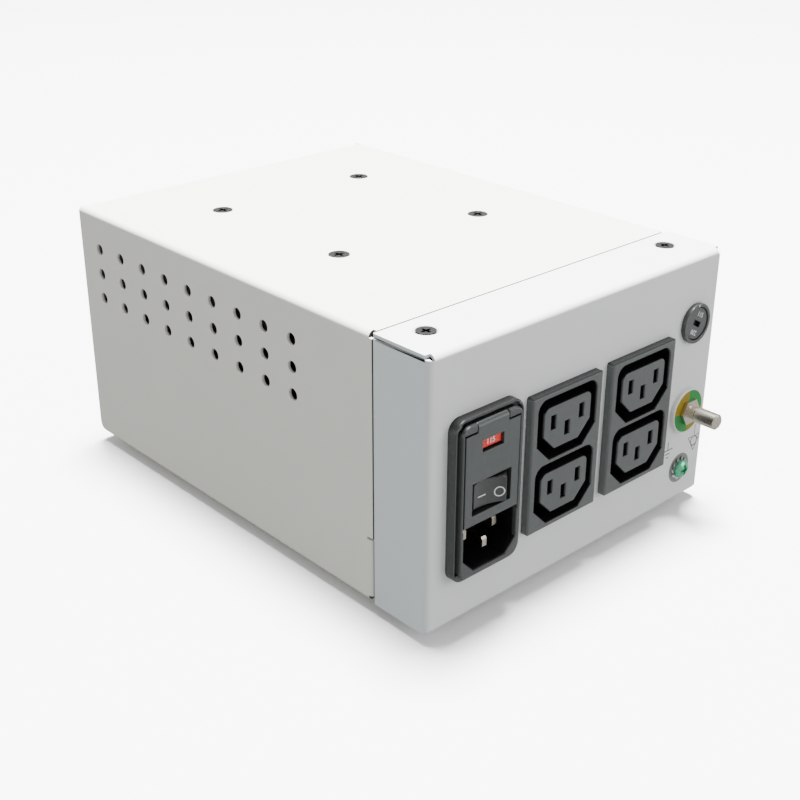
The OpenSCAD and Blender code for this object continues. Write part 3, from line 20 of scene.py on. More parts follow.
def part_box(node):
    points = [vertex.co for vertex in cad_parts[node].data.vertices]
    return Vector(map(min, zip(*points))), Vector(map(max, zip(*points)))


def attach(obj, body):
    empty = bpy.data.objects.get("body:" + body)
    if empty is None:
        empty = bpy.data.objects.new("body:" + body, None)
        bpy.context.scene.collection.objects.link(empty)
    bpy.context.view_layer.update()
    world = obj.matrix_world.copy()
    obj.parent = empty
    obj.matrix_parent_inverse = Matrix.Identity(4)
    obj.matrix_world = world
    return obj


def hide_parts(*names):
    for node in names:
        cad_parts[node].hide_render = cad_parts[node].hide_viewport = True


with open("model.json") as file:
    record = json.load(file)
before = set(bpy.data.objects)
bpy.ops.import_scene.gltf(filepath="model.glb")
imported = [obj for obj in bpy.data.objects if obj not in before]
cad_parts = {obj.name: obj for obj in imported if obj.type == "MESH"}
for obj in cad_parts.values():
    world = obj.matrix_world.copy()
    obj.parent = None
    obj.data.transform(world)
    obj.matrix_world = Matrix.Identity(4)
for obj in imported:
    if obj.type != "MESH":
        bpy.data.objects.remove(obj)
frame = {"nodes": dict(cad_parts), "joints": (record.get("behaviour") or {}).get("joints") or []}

MM = 0.001
LOG = logging.getLogger("isolation_transformer")

Colour = tuple[float, float, float]
Point = tuple[float, float]
Stroke = tuple[Point, Point]
Mesh = bmesh.types.BMesh
Material = bpy.types.Material
Socket = bpy.types.NodeSocket
Term = Socket | float | Colour


def darker(colour: Colour, share: float) -> Colour:
    """Gives a colour at a share of its brightness, which may be more than 1."""
    return tuple(value * share for value in colour)


class Axis(Enum):
    """The direction that a pattern's lines or bands follow."""

    X = "X"
    Y = "Y"
    Z = "Z"
    DIAGONAL = "DIAGONAL"

    def drawn_out(self, share: float) -> tuple[float, ...]:
        """Gives factors for X, Y and Z that scale a pattern by a share along this axis alone."""
        return tuple(share if axis is self else 1.0 for axis in (Axis.X, Axis.Y, Axis.Z))


class Wiring:
    """Fills the node tree of one material."""

    def __init__(self, name: str) -> None:
        """Starts a material with a principled shader.

        Args:
            name: The material's name.
        """
        self.material = bpy.data.materials.new(name)
        self.material.use_nodes = True
        self.tree = self.material.node_tree
        self.tree.nodes.clear()
        output = self.tree.nodes.new("ShaderNodeOutputMaterial")
        self.shader = self.tree.nodes.new("ShaderNodeBsdfPrincipled")
        self.tree.links.new(self.shader.outputs["BSDF"], output.inputs["Surface"])
        self.place = self.tree.nodes.new("ShaderNodeTexCoord").outputs["Object"]

    def set(self, **values: Term) -> None:
        """Sets or links the shader's sockets; an underscore stands for a blank."""
        for key, value in values.items():
            self._fill(self.shader.inputs[key.replace("_", " ")], value)

    def _fill(self, socket: Socket, value: Term) -> None:
        """Links a socket, or sets its own value.

        Args:
            socket: The socket.
            value: Another socket, a number, a colour or a vector.
        """
        if isinstance(value, Socket):
            self.tree.links.new(value, socket)
        elif isinstance(value, tuple) and len(value) == 3 and socket.type == "RGBA":
            socket.default_value = (*value, 1.0)
        else:
            socket.default_value = value

    def calc(self, operation: str, *terms: Term) -> Socket:
        """Adds one sum.

        Args:
            operation: The Math node's operation.
            terms: Sockets or numbers.

        Returns:
            The result's socket.
        """
        node = self.tree.nodes.new("ShaderNodeMath")
        node.operation = operation
        for socket, term in zip(node.inputs, terms):
            self._fill(socket, term)
        return node.outputs[0]

    def stretched(self, x: float, y: float, z: float) -> Socket:
        """Adds a Mapping node that scales the object's coordinates.

        Args:
            x: Factor along X.
            y: Factor along Y.
            z: Factor along Z.

        Returns:
            The stretched coordinates.
        """
        node = self.tree.nodes.new("ShaderNodeMapping")
        self._fill(node.inputs["Vector"], self.place)
        node.inputs["Scale"].default_value = (x, y, z)
        return node.outputs["Vector"]

    def noise(
        self, size: float, detail: float = 2.0, rough: float = 0.5, at: Socket | None = None
    ) -> Socket:
        """Adds noise.

        Args:
            size: Size of one patch.
            detail: Number of finer layers.
            rough: Strength of the finer layers.
            at: Coordinates other than the object's own.

        Returns:
            The noise's height.
        """
        node = self.tree.nodes.new("ShaderNodeTexNoise")
        self._fill(node.inputs["Vector"], at or self.place)
        node.inputs["Scale"].default_value = 1.0 / (size * MM)
        node.inputs["Detail"].default_value = detail
        node.inputs["Roughness"].default_value = rough
        return node.outputs["Fac"]

    def cells(self, size: float) -> Socket:
        """Adds round cells.

        Args:
            size: Size of one cell.

        Returns:
            The distance to the nearest cell's centre.
        """
        node = self.tree.nodes.new("ShaderNodeTexVoronoi")
        self._fill(node.inputs["Vector"], self.place)
        node.inputs["Scale"].default_value = 1.0 / (size * MM)
        return node.outputs["Distance"]

    def bands(self, pitch: float, axis: Axis, wobble: float = 0.0) -> Socket:
        """Adds even bands across one axis.

        Args:
            pitch: Distance from band to band.
            axis: The axis that the bands follow one another along.
            wobble: Distortion of the bands.

        Returns:
            The bands' height.
        """
        unscaled_pitch_m = 0.314
        node = self.tree.nodes.new("ShaderNodeTexWave")
        node.bands_direction = axis.value
        self._fill(node.inputs["Vector"], self.place)
        node.inputs["Scale"].default_value = unscaled_pitch_m / (pitch * MM)
        node.inputs["Distortion"].default_value = wobble
        return node.outputs["Fac"]

    def between(self, amount: Term, low: float, high: float) -> Socket:
        """Spreads an amount of 0 to 1 over a range."""
        return self.calc("MULTIPLY_ADD", amount, high - low, low)

    def blend(self, amount: Term, first: Term, second: Term) -> Socket:
        """Mixes two colours.

        Args:
            amount: The second colour's share.
            first: The colour at 0.
            second: The colour at 1.

        Returns:
            The mixed colour.
        """
        node = self.tree.nodes.new("ShaderNodeMix")
        node.data_type = "RGBA"
        factor, colour_a, colour_b = (node.inputs[index] for index in (0, 6, 7))
        self._fill(factor, amount)
        self._fill(colour_a, first)
        self._fill(colour_b, second)
        return node.outputs[2]

    def step(self, amount: Socket, edge: float, soft: float) -> Socket:
        """Gives 0 below an edge and 1 above it, with a short soft change.

        Args:
            amount: What is compared with the edge.
            edge: The middle of the change.
            soft: Half the width of the change.

        Returns:
            The share.
        """
        node = self.tree.nodes.new("ShaderNodeMapRange")
        node.interpolation_type = "SMOOTHSTEP"
        self._fill(node.inputs["Value"], amount)
        node.inputs["From Min"].default_value = edge - soft
        node.inputs["From Max"].default_value = edge + soft
        return node.outputs["Result"]

    def outside(self, share: Socket) -> Socket:
        """Turns an amount of 0 to 1 round."""
        return self.calc("SUBTRACT", 1.0, share)

    def axes(self) -> tuple[Socket, ...]:
        """Splits the place on the object.

        Returns:
            Its X, Y and Z, in metres.
        """
        node = self.tree.nodes.new("ShaderNodeSeparateXYZ")
        self._fill(node.inputs[0], self.place)
        return tuple(node.outputs)

    def facing(self) -> tuple[Socket, ...]:
        """Splits the direction that the object's surface faces.

        Returns:
            Its X, Y and Z, each from -1 to 1.
        """
        source = self.tree.nodes.new("ShaderNodeTexCoord")
        node = self.tree.nodes.new("ShaderNodeSeparateXYZ")
        self._fill(node.inputs[0], source.outputs["Normal"])
        return tuple(node.outputs)

    def radius(self, x_m: float, z_m: float) -> Socket:
        """Gives the distance from one point in the panel's plane.

        Args:
            x_m: The point's place across.
            z_m: Its place up.

        Returns:
            The distance, in metres.
        """
        across, _, up = self.axes()
        dx = self.calc("SUBTRACT", across, x_m)
        dz = self.calc("SUBTRACT", up, z_m)
        square = self.calc("ADD", self.calc("MULTIPLY", dx, dx), self.calc("MULTIPLY", dz, dz))
        return self.calc("SQRT", square)

    def relief(self, *layers: tuple[Socket, float]) -> None:
        """Stacks bump layers and links them to the shader.

        Args:
            layers: A height of 0 to 1 and its depth, each.
        """
        normal = None
        for height, depth in layers:
            node = self.tree.nodes.new("ShaderNodeBump")
            node.inputs["Strength"].default_value = 1.0
            node.inputs["Distance"].default_value = depth * MM
            self._fill(node.inputs["Height"], height)
            if normal:
                self._fill(node.inputs["Normal"], normal)
            normal = node.outputs["Normal"]
        self._fill(self.shader.inputs["Normal"], normal)


@dataclass(frozen=True)
class BareSpot:
    """A round place of brushed steel that was masked off before the coat."""

    across_m: float
    up_m: float
    radius: float = 6.0
    ragged: float = 0.12
    soft: float = 0.08
    dark: Colour = (0.20, 0.20, 0.20)
    light: Colour = (0.34, 0.34, 0.33)
    roughness: float = 0.46
    metallic: float = 0.75

    def mask(self, wiring: Wiring) -> Socket:
        """Gives 1 on the spot and 0 off it.

        Args:
            wiring: The node tree that grows.

        Returns:
            The mask's socket.
        """
        fray = wiring.between(wiring.noise(size=0.7), low=-self.ragged * MM, high=self.ragged * MM)
        reach = wiring.calc("ADD", wiring.radius(self.across_m, self.up_m), fray)
        return wiring.outside(wiring.step(reach, edge=self.radius * MM, soft=self.soft * MM))

    def steel(self, wiring: Wiring) -> Socket:
        """Gives the brushed metal's colour."""
        across = wiring.stretched(*Axis.X.drawn_out(0.06))
        strokes = wiring.noise(size=0.5, detail=3.0, rough=0.6, at=across)
        return wiring.blend(strokes, self.dark, self.light)


@dataclass(frozen=True)
class PowderCoat:
    """Fine textured powder coat on sheet steel.

    A round spot may be left bare, forward-looking edges in front of cut_m get the painted
    shade of a gap, and the sides may get a painted tint that stands in for their light.
    """

    name: str
    colour: Colour
    spot: BareSpot | None = None
    cut_m: float | None = None
    painted_side_tint: Colour | None = None
    shade: float = 0.15

    def build(self) -> Material:
        """Wires the coat.

        Returns:
            The material.
        """
        wiring = Wiring(self.name)
        clouds = wiring.step(wiring.noise(size=38.0, detail=3.0), edge=0.5, soft=0.35)
        specks = wiring.step(wiring.noise(size=0.9, detail=3.0, rough=0.6), edge=0.62, soft=0.1)
        tint = wiring.blend(clouds, self.colour, darker(self.colour, 0.975))
        tint = wiring.blend(wiring.between(specks, low=0.0, high=0.05), tint, darker(self.colour, 0.8))
        # Painted light: the faces to the sides get a tint that stands in for the light falling on them.
        if self.painted_side_tint:
            sideways = wiring.step(wiring.calc("ABSOLUTE", wiring.facing()[0]), edge=0.75, soft=0.2)
            tint = wiring.blend(sideways, tint, self.painted_side_tint)
        shine = wiring.between(wiring.noise(size=9.0, detail=3.0), low=0.40, high=0.52)
        metal: Term = 0.0
        if self.spot:
            bare = self.spot.mask(wiring)
            tint = wiring.blend(bare, tint, self.spot.steel(wiring))
            rise = wiring.calc("SUBTRACT", self.spot.roughness, shine)
            shine = wiring.calc("MULTIPLY_ADD", bare, rise, shine)
            metal = wiring.calc("MULTIPLY", bare, self.spot.metallic)
        if self.cut_m is not None:
            # Painted shade: forward-looking edges near the front are darkened as if they lay in the gap.
            tint = wiring.blend(self.gap_shade(wiring), tint, darker(self.colour, self.shade))
        wiring.set(Base_Color=tint, Roughness=shine, Metallic=metal)
        wiring.relief((wiring.noise(size=0.85), 0.012), (wiring.noise(size=0.3), 0.003))
        return wiring.material

    def gap_shade(self, wiring: Wiring) -> Socket:
        """Gives 1 on the faces near the front that look forwards, where the gap's shade is painted.

        Args:
            wiring: The node tree that grows.

        Returns:
            The mask's socket.
        """
        near = wiring.outside(wiring.step(wiring.axes()[1], edge=self.cut_m, soft=0.04 * MM))
        towards = wiring.step(wiring.calc("MULTIPLY", wiring.facing()[1], -1.0), edge=0.75, soft=0.12)
        return wiring.calc("MULTIPLY", near, towards)


@dataclass(frozen=True)
class Well:
    """A deep recess in the panel's pieces, or two of them a pitch apart, painted dark as shade."""

    middle_m: float
    pitch_m: float
    half_m: float
    low_m: float
    high_m: float
    front_m: float

    def mask(self, wiring: Wiring) -> Socket:
        """Gives 1 inside the recess and 0 outside it.

        Args:
            wiring: The node tree that grows.

        Returns:
            The mask's socket.
        """
        across, along, up = wiring.axes()
        offset = wiring.calc("ABSOLUTE", wiring.calc("SUBTRACT", across, self.middle_m))
        near = wiring.calc("ABSOLUTE", wiring.calc("SUBTRACT", offset, self.pitch_m / 2))
        level = wiring.calc("ABSOLUTE", wiring.calc("SUBTRACT", up, (self.low_m + self.high_m) / 2))
        in_width = wiring.calc("LESS_THAN", near, self.half_m)
        in_height = wiring.calc("LESS_THAN", level, (self.high_m - self.low_m) / 2)
        inside = wiring.calc("MULTIPLY", in_width, in_height)
        return wiring.calc("MULTIPLY", inside, wiring.step(along, edge=self.front_m, soft=0.35 * MM))


@dataclass(frozen=True)
class MouldedPlastic:
    """Moulded plastic with a spark-eroded grain, rubbed high spots and painted shade in its wells.

    side and top are the shares of its colour that the faces to the sides and the
    faces that look up have, as painted shade below 1 and painted light above 1.
    Neither is used while top is 1.
    """

    name: str
    colour: Colour
    roughness: float = 0.42
    grain: float = 0.28
    depth: float = 0.006
    painted_shade_well: Well | None = None
    side: float = 1.0
    top: float = 1.0
    gloss: float = 0.5

    def build(self) -> Material:
        """Wires the plastic.

        Returns:
            The material.
        """
        wiring = Wiring(self.name)
        upright = wiring.stretched(*Axis.Z.drawn_out(0.45))
        flow = wiring.noise(size=14.0, detail=4.0, rough=0.55, at=upright)
        rubbed = wiring.step(wiring.noise(size=3.5, detail=4.0, rough=0.6), edge=0.66, soft=0.12)
        tint = wiring.blend(flow, darker(self.colour, 0.93), darker(self.colour, 1.08))
        tint = wiring.blend(wiring.between(rubbed, low=0.0, high=0.12), tint, darker(self.colour, 1.7))
        # Painted shade on the faces to the sides and the faces that look up; a side share above 1 is
        # painted light.
        if self.top < 1.0:
            towards = wiring.step(wiring.calc("ABSOLUTE", wiring.facing()[1]), edge=0.74, soft=0.2)
            upwards = wiring.step(wiring.facing()[2], edge=0.35, soft=0.3)
            tint = wiring.blend(towards, darker(self.colour, self.side), tint)
            tint = wiring.blend(upwards, tint, darker(self.colour, self.top))
        # Painted shade: the inside of the recess is darkened nearly to black.
        if self.painted_shade_well:
            tint = wiring.blend(self.painted_shade_well.mask(wiring), tint, darker(self.colour, 0.05))
        uneven = wiring.noise(size=5.0, detail=3.0)
        shine = wiring.between(uneven, low=self.roughness - 0.05, high=self.roughness + 0.06)
        wiring.set(Base_Color=tint, Roughness=shine, Specular_IOR_Level=self.gloss)
        fine = wiring.noise(size=self.grain, rough=0.6)
        wiring.relief((fine, self.depth), (wiring.noise(size=6.0), 0.01))
        return wiring.material


@dataclass(frozen=True)
class PlatedMetal:
    """Plated or bare metal with fine marks along one axis, with painted shade below floor_m."""

    name: str
    colour: Colour
    roughness: float
    marks: float
    along: Axis = Axis.Y
    depth: float = 0.0015
    metallic: float = 1.0
    floor_m: float | None = None
    gloss: float = 0.5

    def build(self) -> Material:
        """Wires the metal.

        Returns:
            The material.
        """
        wiring = Wiring(self.name)
        drawn = wiring.stretched(*self.along.drawn_out(0.05))
        lines = wiring.noise(size=self.marks, detail=4.0, rough=0.6, at=drawn)
        stain = wiring.noise(size=4.0, detail=4.0, rough=0.55)
        stained = wiring.between(wiring.step(stain, edge=0.6, soft=0.15), low=0.0, high=0.3)
        tint = wiring.blend(lines, darker(self.colour, 0.86), self.colour)
        tint = wiring.blend(stained, tint, darker(self.colour, 0.72))
        worn = wiring.between(stain, low=self.roughness - 0.03, high=self.roughness + 0.08)
        shine = wiring.calc("ADD", wiring.between(lines, low=-0.06, high=0.06), worn)
        # Painted shade: the metal below floor_m is darkened as if it lay in its seat's shade.
        if self.floor_m is not None:
            deep = wiring.outside(wiring.step(wiring.axes()[2], edge=self.floor_m, soft=0.1 * MM))
            tint = wiring.blend(deep, tint, darker(self.colour, 0.1))
            shine = wiring.calc("MULTIPLY_ADD", deep, 0.5, shine)
        wiring.set(Base_Color=tint, Roughness=shine)
        wiring.set(Metallic=self.metallic, Specular_IOR_Level=self.gloss)
        wiring.relief((lines, self.depth))
        return wiring.material


@dataclass(frozen=True)
class FootRubber:
    """Matte rubber with dust in its pores."""

    name: str
    colour: Colour
    dusty: Colour = (0.17, 0.165, 0.16)

    def build(self) -> Material:
        """Wires the rubber.

        Returns:
            The material.
        """
        wiring = Wiring(self.name)
        dust = wiring.step(wiring.noise(size=2.2, detail=5.0, rough=0.65), edge=0.56, soft=0.18)
        tint = wiring.blend(wiring.between(dust, low=0.0, high=0.25), self.colour, self.dusty)
        wiring.set(Base_Color=tint, Roughness=wiring.between(dust, low=0.62, high=0.85))
        wiring.relief((wiring.cells(0.35), 0.01), (wiring.noise(size=1.5), 0.02))
        return wiring.material


@dataclass(frozen=True)
class Laminations:
    """Edges of stacked steel sheets under a thin varnish."""

    name: str
    colour: Colour
    pitch: float = 0.5
    rusty: Colour = (0.10, 0.055, 0.03)

    def build(self) -> Material:
        """Wires the sheets' edges.

        Returns:
            The material.
        """
        wiring = Wiring(self.name)
        sheets = wiring.bands(self.pitch, Axis.Y, wobble=0.3)
        rust = wiring.step(wiring.noise(size=5.0, detail=4.0, rough=0.6), edge=0.64, soft=0.1)
        tint = wiring.blend(sheets, darker(self.colour, 0.55), self.colour)
        tint = wiring.blend(wiring.between(rust, low=0.0, high=0.5), tint, self.rusty)
        shine = wiring.between(sheets, low=0.55, high=0.36)
        wiring.set(Base_Color=tint, Roughness=shine, Metallic=0.55, Coat_Weight=0.35, Coat_Roughness=0.2)
        wiring.relief((sheets, 0.06), (wiring.noise(size=1.2), 0.01))
        return wiring.material


@dataclass(frozen=True)
class WoundCopper:
    """Turns of enamelled wire lying side by side under a film, with painted shade between them."""

    name: str
    colour: Colour
    pitch: float

    def build(self) -> Material:
        """Wires the turns.

        Returns:
            The material.
        """
        wiring = Wiring(self.name)
        turns = wiring.bands(self.pitch, Axis.Z, wobble=0.5)
        uneven = wiring.noise(size=6.0, detail=3.0)
        crest = wiring.blend(uneven, darker(self.colour, 0.8), self.colour)
        # Painted shade: the valleys between the turns are darkened.
        tint = wiring.blend(turns, darker(self.colour, 0.35), crest)
        wiring.set(Base_Color=tint, Roughness=0.3, Metallic=0.7, Coat_Weight=0.6, Coat_Roughness=0.12)
        wiring.relief((turns, 0.2), (uneven, 0.1))
        return wiring.material


@dataclass(frozen=True)
class Insulation:
    """Soft wire insulation, with an optional second colour in bands."""

    name: str
    colour: Colour
    second: Colour | None = None
    pitch: float = 9.0

    def build(self) -> Material:
        """Wires the insulation.

        Returns:
            The material.
        """
        wiring = Wiring(self.name)
        tint = wiring.blend(wiring.noise(size=3.0, detail=3.0), darker(self.colour, 0.85), self.colour)
        if self.second:
            bands = wiring.bands(self.pitch, Axis.DIAGONAL, wobble=1.0)
            stripe = wiring.step(bands, edge=0.6, soft=0.03)
            tint = wiring.blend(stripe, tint, self.second)
        shine = wiring.between(wiring.noise(size=1.6, detail=3.0), low=0.34, high=0.5)
        wiring.set(Base_Color=tint, Roughness=shine)
        wiring.relief((wiring.noise(size=0.8), 0.01))
        return wiring.material


@dataclass(frozen=True)
class TubeGlass:
    """Clear glass with faint drawing lines."""

    name: str
    colour: Colour

    def build(self) -> Material:
        """Wires the glass.

        Returns:
            The material.
        """
        wiring = Wiring(self.name)
        lines = wiring.noise(size=0.6, at=wiring.stretched(*Axis.Y.drawn_out(0.04)))
        shine = wiring.between(lines, low=0.01, high=0.06)
        wiring.set(Base_Color=self.colour, Roughness=shine, IOR=1.5, Transmission_Weight=0.92)
        wiring.relief((lines, 0.004))
        return wiring.material


@dataclass(frozen=True)
class QuarteredDisc:
    """A disc in green and yellow quarters with a pale edge."""

    name: str
    across_m: float
    up_m: float
    edge: float = 8.25
    green: Colour = (0.012, 0.25, 0.045)
    yellow: Colour = (0.285, 0.205, 0.003)
    pale: Colour = (0.72, 0.72, 0.68)
    rubbed: Colour = (0.5, 0.5, 0.4)

    def build(self) -> Material:
        """Wires the quarters.

        Returns:
            The material.
        """
        wiring = Wiring(self.name)
        across, _, up = wiring.axes()
        dx = wiring.calc("SUBTRACT", across, self.across_m)
        dz = wiring.calc("SUBTRACT", up, self.up_m)
        quarter = wiring.calc("GREATER_THAN", wiring.calc("MULTIPLY", dx, dz), 0.0)
        worn = wiring.step(wiring.noise(size=1.4, detail=4.0, rough=0.6), edge=0.62, soft=0.12)
        rim = wiring.step(wiring.radius(self.across_m, self.up_m), edge=self.edge * MM, soft=0.05 * MM)
        tint = wiring.blend(quarter, self.yellow, self.green)
        tint = wiring.blend(wiring.between(worn, low=0.0, high=0.05), tint, self.rubbed)
        tint = wiring.blend(rim, tint, self.pale)
        shine = wiring.between(wiring.noise(size=2.0), low=0.26, high=0.38)
        wiring.set(Base_Color=tint, Roughness=shine, Specular_IOR_Level=0.25)
        wiring.relief((wiring.noise(size=0.6), 0.004))
        return wiring.material


@dataclass(frozen=True)
class PrintInk:
    """Pad-printed ink with a slightly uneven body."""

    name: str
    colour: Colour

    def build(self) -> Material:
        """Wires the ink.

        Returns:
            The material.
        """
        wiring = Wiring(self.name)
        thin = wiring.step(wiring.noise(size=0.35, detail=3.0, rough=0.6), edge=0.6, soft=0.2)
        thinned = wiring.between(thin, low=0.0, high=0.2)
        tint = wiring.blend(thinned, self.colour, darker(self.colour, 0.8))
        wiring.set(Base_Color=tint, Roughness=0.5)
        wiring.relief((wiring.noise(size=0.2), 0.003))
        return wiring.material


@dataclass(frozen=True)
class StudioPaper:
    """Pale seamless paper."""

    name: str
    colour: Colour

    def build(self) -> Material:
        """Wires the paper.

        Returns:
            The material.
        """
        wiring = Wiring(self.name)
        fibre = wiring.noise(size=1.5, detail=4.0, rough=0.6)
        tint = wiring.blend(fibre, darker(self.colour, 0.985), self.colour)
        wiring.set(Base_Color=tint, Roughness=0.85)
        wiring.relief((fibre, 0.01))
        return wiring.material


PANEL_LOW, PANEL_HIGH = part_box("front_pan")
BOX_Z = PANEL_LOW.z
UPRIGHT = Matrix.Rotation(math.pi / 2, 4, "X")


def facing_front(place: Iterable[float]) -> Matrix:
    """Gives a frame at a place in metres whose x is right, y is up and z comes out of the front."""
    return Matrix.Translation(place) @ UPRIGHT


def on_panel(x: float, up: float) -> Matrix:
    """Gives a frame on the panel, right of the case's middle and above its underside."""
    return facing_front((0.0, PANEL_LOW.y, BOX_Z)) @ Matrix.Translation((x * MM, up * MM, 0.0))


def middle(node: str) -> Vector:
    """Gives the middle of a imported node's box, in metres."""
    low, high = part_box(node)
    return (low + high) / 2


def merged(node: str) -> Mesh:
    """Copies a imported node's mesh with its loose triangles joined.

    Args:
        node: The node's name.

    Returns:
        A bmesh of joined flat faces.
    """
    mesh = bmesh.new()
    mesh.from_mesh(frame["nodes"][node].data)
    bmesh.ops.remove_doubles(mesh, verts=mesh.verts, dist=1e-6)
    bmesh.ops.dissolve_degenerate(mesh, edges=mesh.edges, dist=1e-7)
    flat = math.radians(0.5)
    bmesh.ops.dissolve_limit(
        mesh, angle_limit=flat, verts=mesh.verts, edges=mesh.edges, use_dissolve_boundaries=False
    )
    bmesh.ops.connect_verts_concave(mesh, faces=mesh.faces)
    return mesh


def round_edges(
    mesh: Mesh,
    width: float,
    chosen: Callable[[Vector], bool] | None = None,
    segments: int = 2,
    sharper: float = 32.0,
) -> None:
    """Rounds the sharp edges of a mesh.

    Args:
        mesh: The mesh.
        width: Width of the rounding.
        chosen: Says of an edge's middle, in metres, whether it is rounded. None rounds all.
        segments: Faces across the rounding.
        sharper: Only edges that turn by more degrees are rounded.
    """
    limit = math.radians(sharper)
    edges = [
        edge
        for edge in mesh.edges
        if len(edge.link_faces) == 2
        and edge.calc_face_angle(0.0) > limit
        and (chosen is None or chosen((edge.verts[0].co + edge.verts[1].co) / 2))
    ]
    bmesh.ops.bevel(
        mesh, geom=edges, offset=width * MM, offset_type="OFFSET", affect="EDGES",
        segments=segments, profile=0.5, material=-1, clamp_overlap=False,
    )


def keep_inside(mesh: Mesh, node: str) -> None:
    """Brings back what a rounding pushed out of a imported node's box.

    Args:
        mesh: The mesh.
        node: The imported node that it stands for.
    """
    low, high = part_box(node)
    for vert in mesh.verts:
        vert.co = [min(max(at, least), most) for at, least, most in zip(vert.co, low, high)]


def finish_piece(
    mesh: Mesh, name: str, body: str, finish: Material, stands_for: Iterable[str] = ()
) -> None:
    """Turns a mesh into a piece that rides on a body.

    Args:
        mesh: The piece's mesh, in metres, in the frame's place.
        name: The piece's name.
        body: The body that it moves with.
        finish: Its material.
        stands_for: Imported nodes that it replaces.
    """
    smooth = math.radians(35.0)
    for face in mesh.faces:
        face.smooth = True
    for edge in mesh.edges:
        edge.smooth = len(edge.link_faces) != 2 or edge.calc_face_angle(0.0) < smooth
    data = bpy.data.meshes.new(name)
    mesh.to_mesh(data)
    mesh.free()
    data.materials.append(finish)
    piece = bpy.data.objects.new(name, data)
    bpy.context.scene.collection.objects.link(piece)
    shading = piece.modifiers.new("even_shading", "WEIGHTED_NORMAL")
    shading.keep_sharp = True
    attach(piece, body)
    names = list(stands_for)
    if names:
        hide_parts(*names)
    LOG.info("%s: %d faces", name, len(data.polygons))


def add_digits(mesh: Mesh, words: str, height: float, place: Matrix, depth: float, bold: float) -> None:
    """Adds flat numerals to a mesh.

    Args:
        mesh: The mesh that grows.
        words: The numerals.
        height: Their height.
        place: The frame of their middle.
        depth: Their thickness.
        bold: Extra width of the strokes.
    """
    height_share = 0.7
    curve = bpy.data.curves.new("numerals", "FONT")
    curve.body = words
    curve.align_x = "CENTER"
    curve.align_y = "CENTER"
    curve.size = height * MM / height_share
    curve.extrude = depth * MM / 2
    curve.offset = bold * MM
    holder = bpy.data.objects.new("numerals", curve)
    bpy.context.scene.collection.objects.link(holder)
    bpy.context.view_layer.update()
    glyphs = bmesh.new()
    glyphs.from_mesh(holder.evaluated_get(bpy.context.evaluated_depsgraph_get()).to_mesh())
    bpy.data.objects.remove(holder)
    bpy.data.curves.remove(curve)
    bmesh.ops.remove_doubles(glyphs, verts=glyphs.verts, dist=2e-6)
    bmesh.ops.holes_fill(glyphs, edges=[edge for edge in glyphs.edges if edge.is_boundary], sides=0)
    bmesh.ops.recalc_face_normals(glyphs, faces=glyphs.faces)
    bmesh.ops.transform(glyphs, matrix=place, verts=glyphs.verts)
    spare = bpy.data.meshes.new("numerals")
    glyphs.to_mesh(spare)
    glyphs.free()
    mesh.from_mesh(spare)
    bpy.data.meshes.remove(spare)


def add_bar(
    mesh: Mesh, place: Matrix, start: Point, end: Point, width: float, depth: float
) -> None:
    """Adds a straight stroke to a mesh.

    Args:
        mesh: The mesh that grows.
        place: The frame of the drawing.
        start: One end.
        end: The other end.
        width: The stroke's width.
        depth: The stroke's thickness.
    """
    run = Vector((end[0] - start[0], end[1] - start[1]))
    centre = Vector(((start[0] + end[0]) / 2, (start[1] + end[1]) / 2, depth / 2)) * MM
    turn = Matrix.Rotation(math.atan2(run.y, run.x), 4, "Z")
    size = Matrix.Diagonal((run.length * MM, width * MM, depth * MM, 1.0))
    bmesh.ops.create_cube(mesh, size=1.0, matrix=place @ Matrix.Translation(centre) @ turn @ size)


def add_ring(
    mesh: Mesh, place: Matrix, centre: Point, radius: float, width: float, depth: float
) -> None:
    """Adds a flat ring to a mesh.

    Args:
        mesh: The mesh that grows.
        place: The frame of the drawing.
        centre: The ring's centre.
        radius: The radius of the stroke's middle.
        width: The stroke's width.
        depth: The stroke's thickness.
    """
    sides = 40
    start = place @ Matrix.Translation(Vector((*centre, 0.0)) * MM)
    corners = [
        mesh.verts.new(start @ Vector(((radius + side * width / 2) * MM, 0.0, level * depth * MM)))
        for side, level in ((-1, 0), (1, 0), (1, 1), (-1, 1))
    ]
    profile = mesh.faces.new(corners)
    outline = list(profile.verts) + list(profile.edges)
    axis = (place.to_3x3() @ Vector((0.0, 0.0, 1.0))).normalized()
    bmesh.ops.spin(
        mesh, geom=outline, cent=start.translation, axis=axis, angle=2 * math.pi,
        steps=sides, use_merge=True,
    )
    mesh.faces.remove(profile)
    bmesh.ops.remove_doubles(mesh, verts=mesh.verts, dist=1e-7)
    bmesh.ops.recalc_face_normals(mesh, faces=mesh.faces)


def outlet_moats() -> Well:
    """Gives the moats of both outlet blocks.

    Returns:
        One Well behind the rims of each block, for painted shade.
    """
    side_rim_m, end_rim_m, face_m = 2.6 * MM, 1.9 * MM, 0.65 * MM
    left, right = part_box("outlet_block_left"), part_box("outlet_block_right")
    return Well(
        middle_m=(left[0].x + right[1].x) / 2,
        pitch_m=right[0].x - left[0].x,
        half_m=(left[1].x - left[0].x) / 2 - side_rim_m,
        low_m=left[0].z + end_rim_m,
        high_m=left[1].z - end_rim_m,
        front_m=left[0].y + face_m,
    )


def dial_slot() -> Well:
    """Gives the slot in the selector's rotor.

    Returns:
        A Well round the slot, for painted shade.
    """
    reach_m, face_m = 2.6 * MM, 0.5 * MM
    centre = middle("selector_rotor")
    return Well(
        middle_m=centre.x,
        pitch_m=0.0,
        half_m=reach_m,
        low_m=centre.z - reach_m,
        high_m=centre.z + reach_m,
        front_m=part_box("selector_rotor")[0].y + face_m,
    )


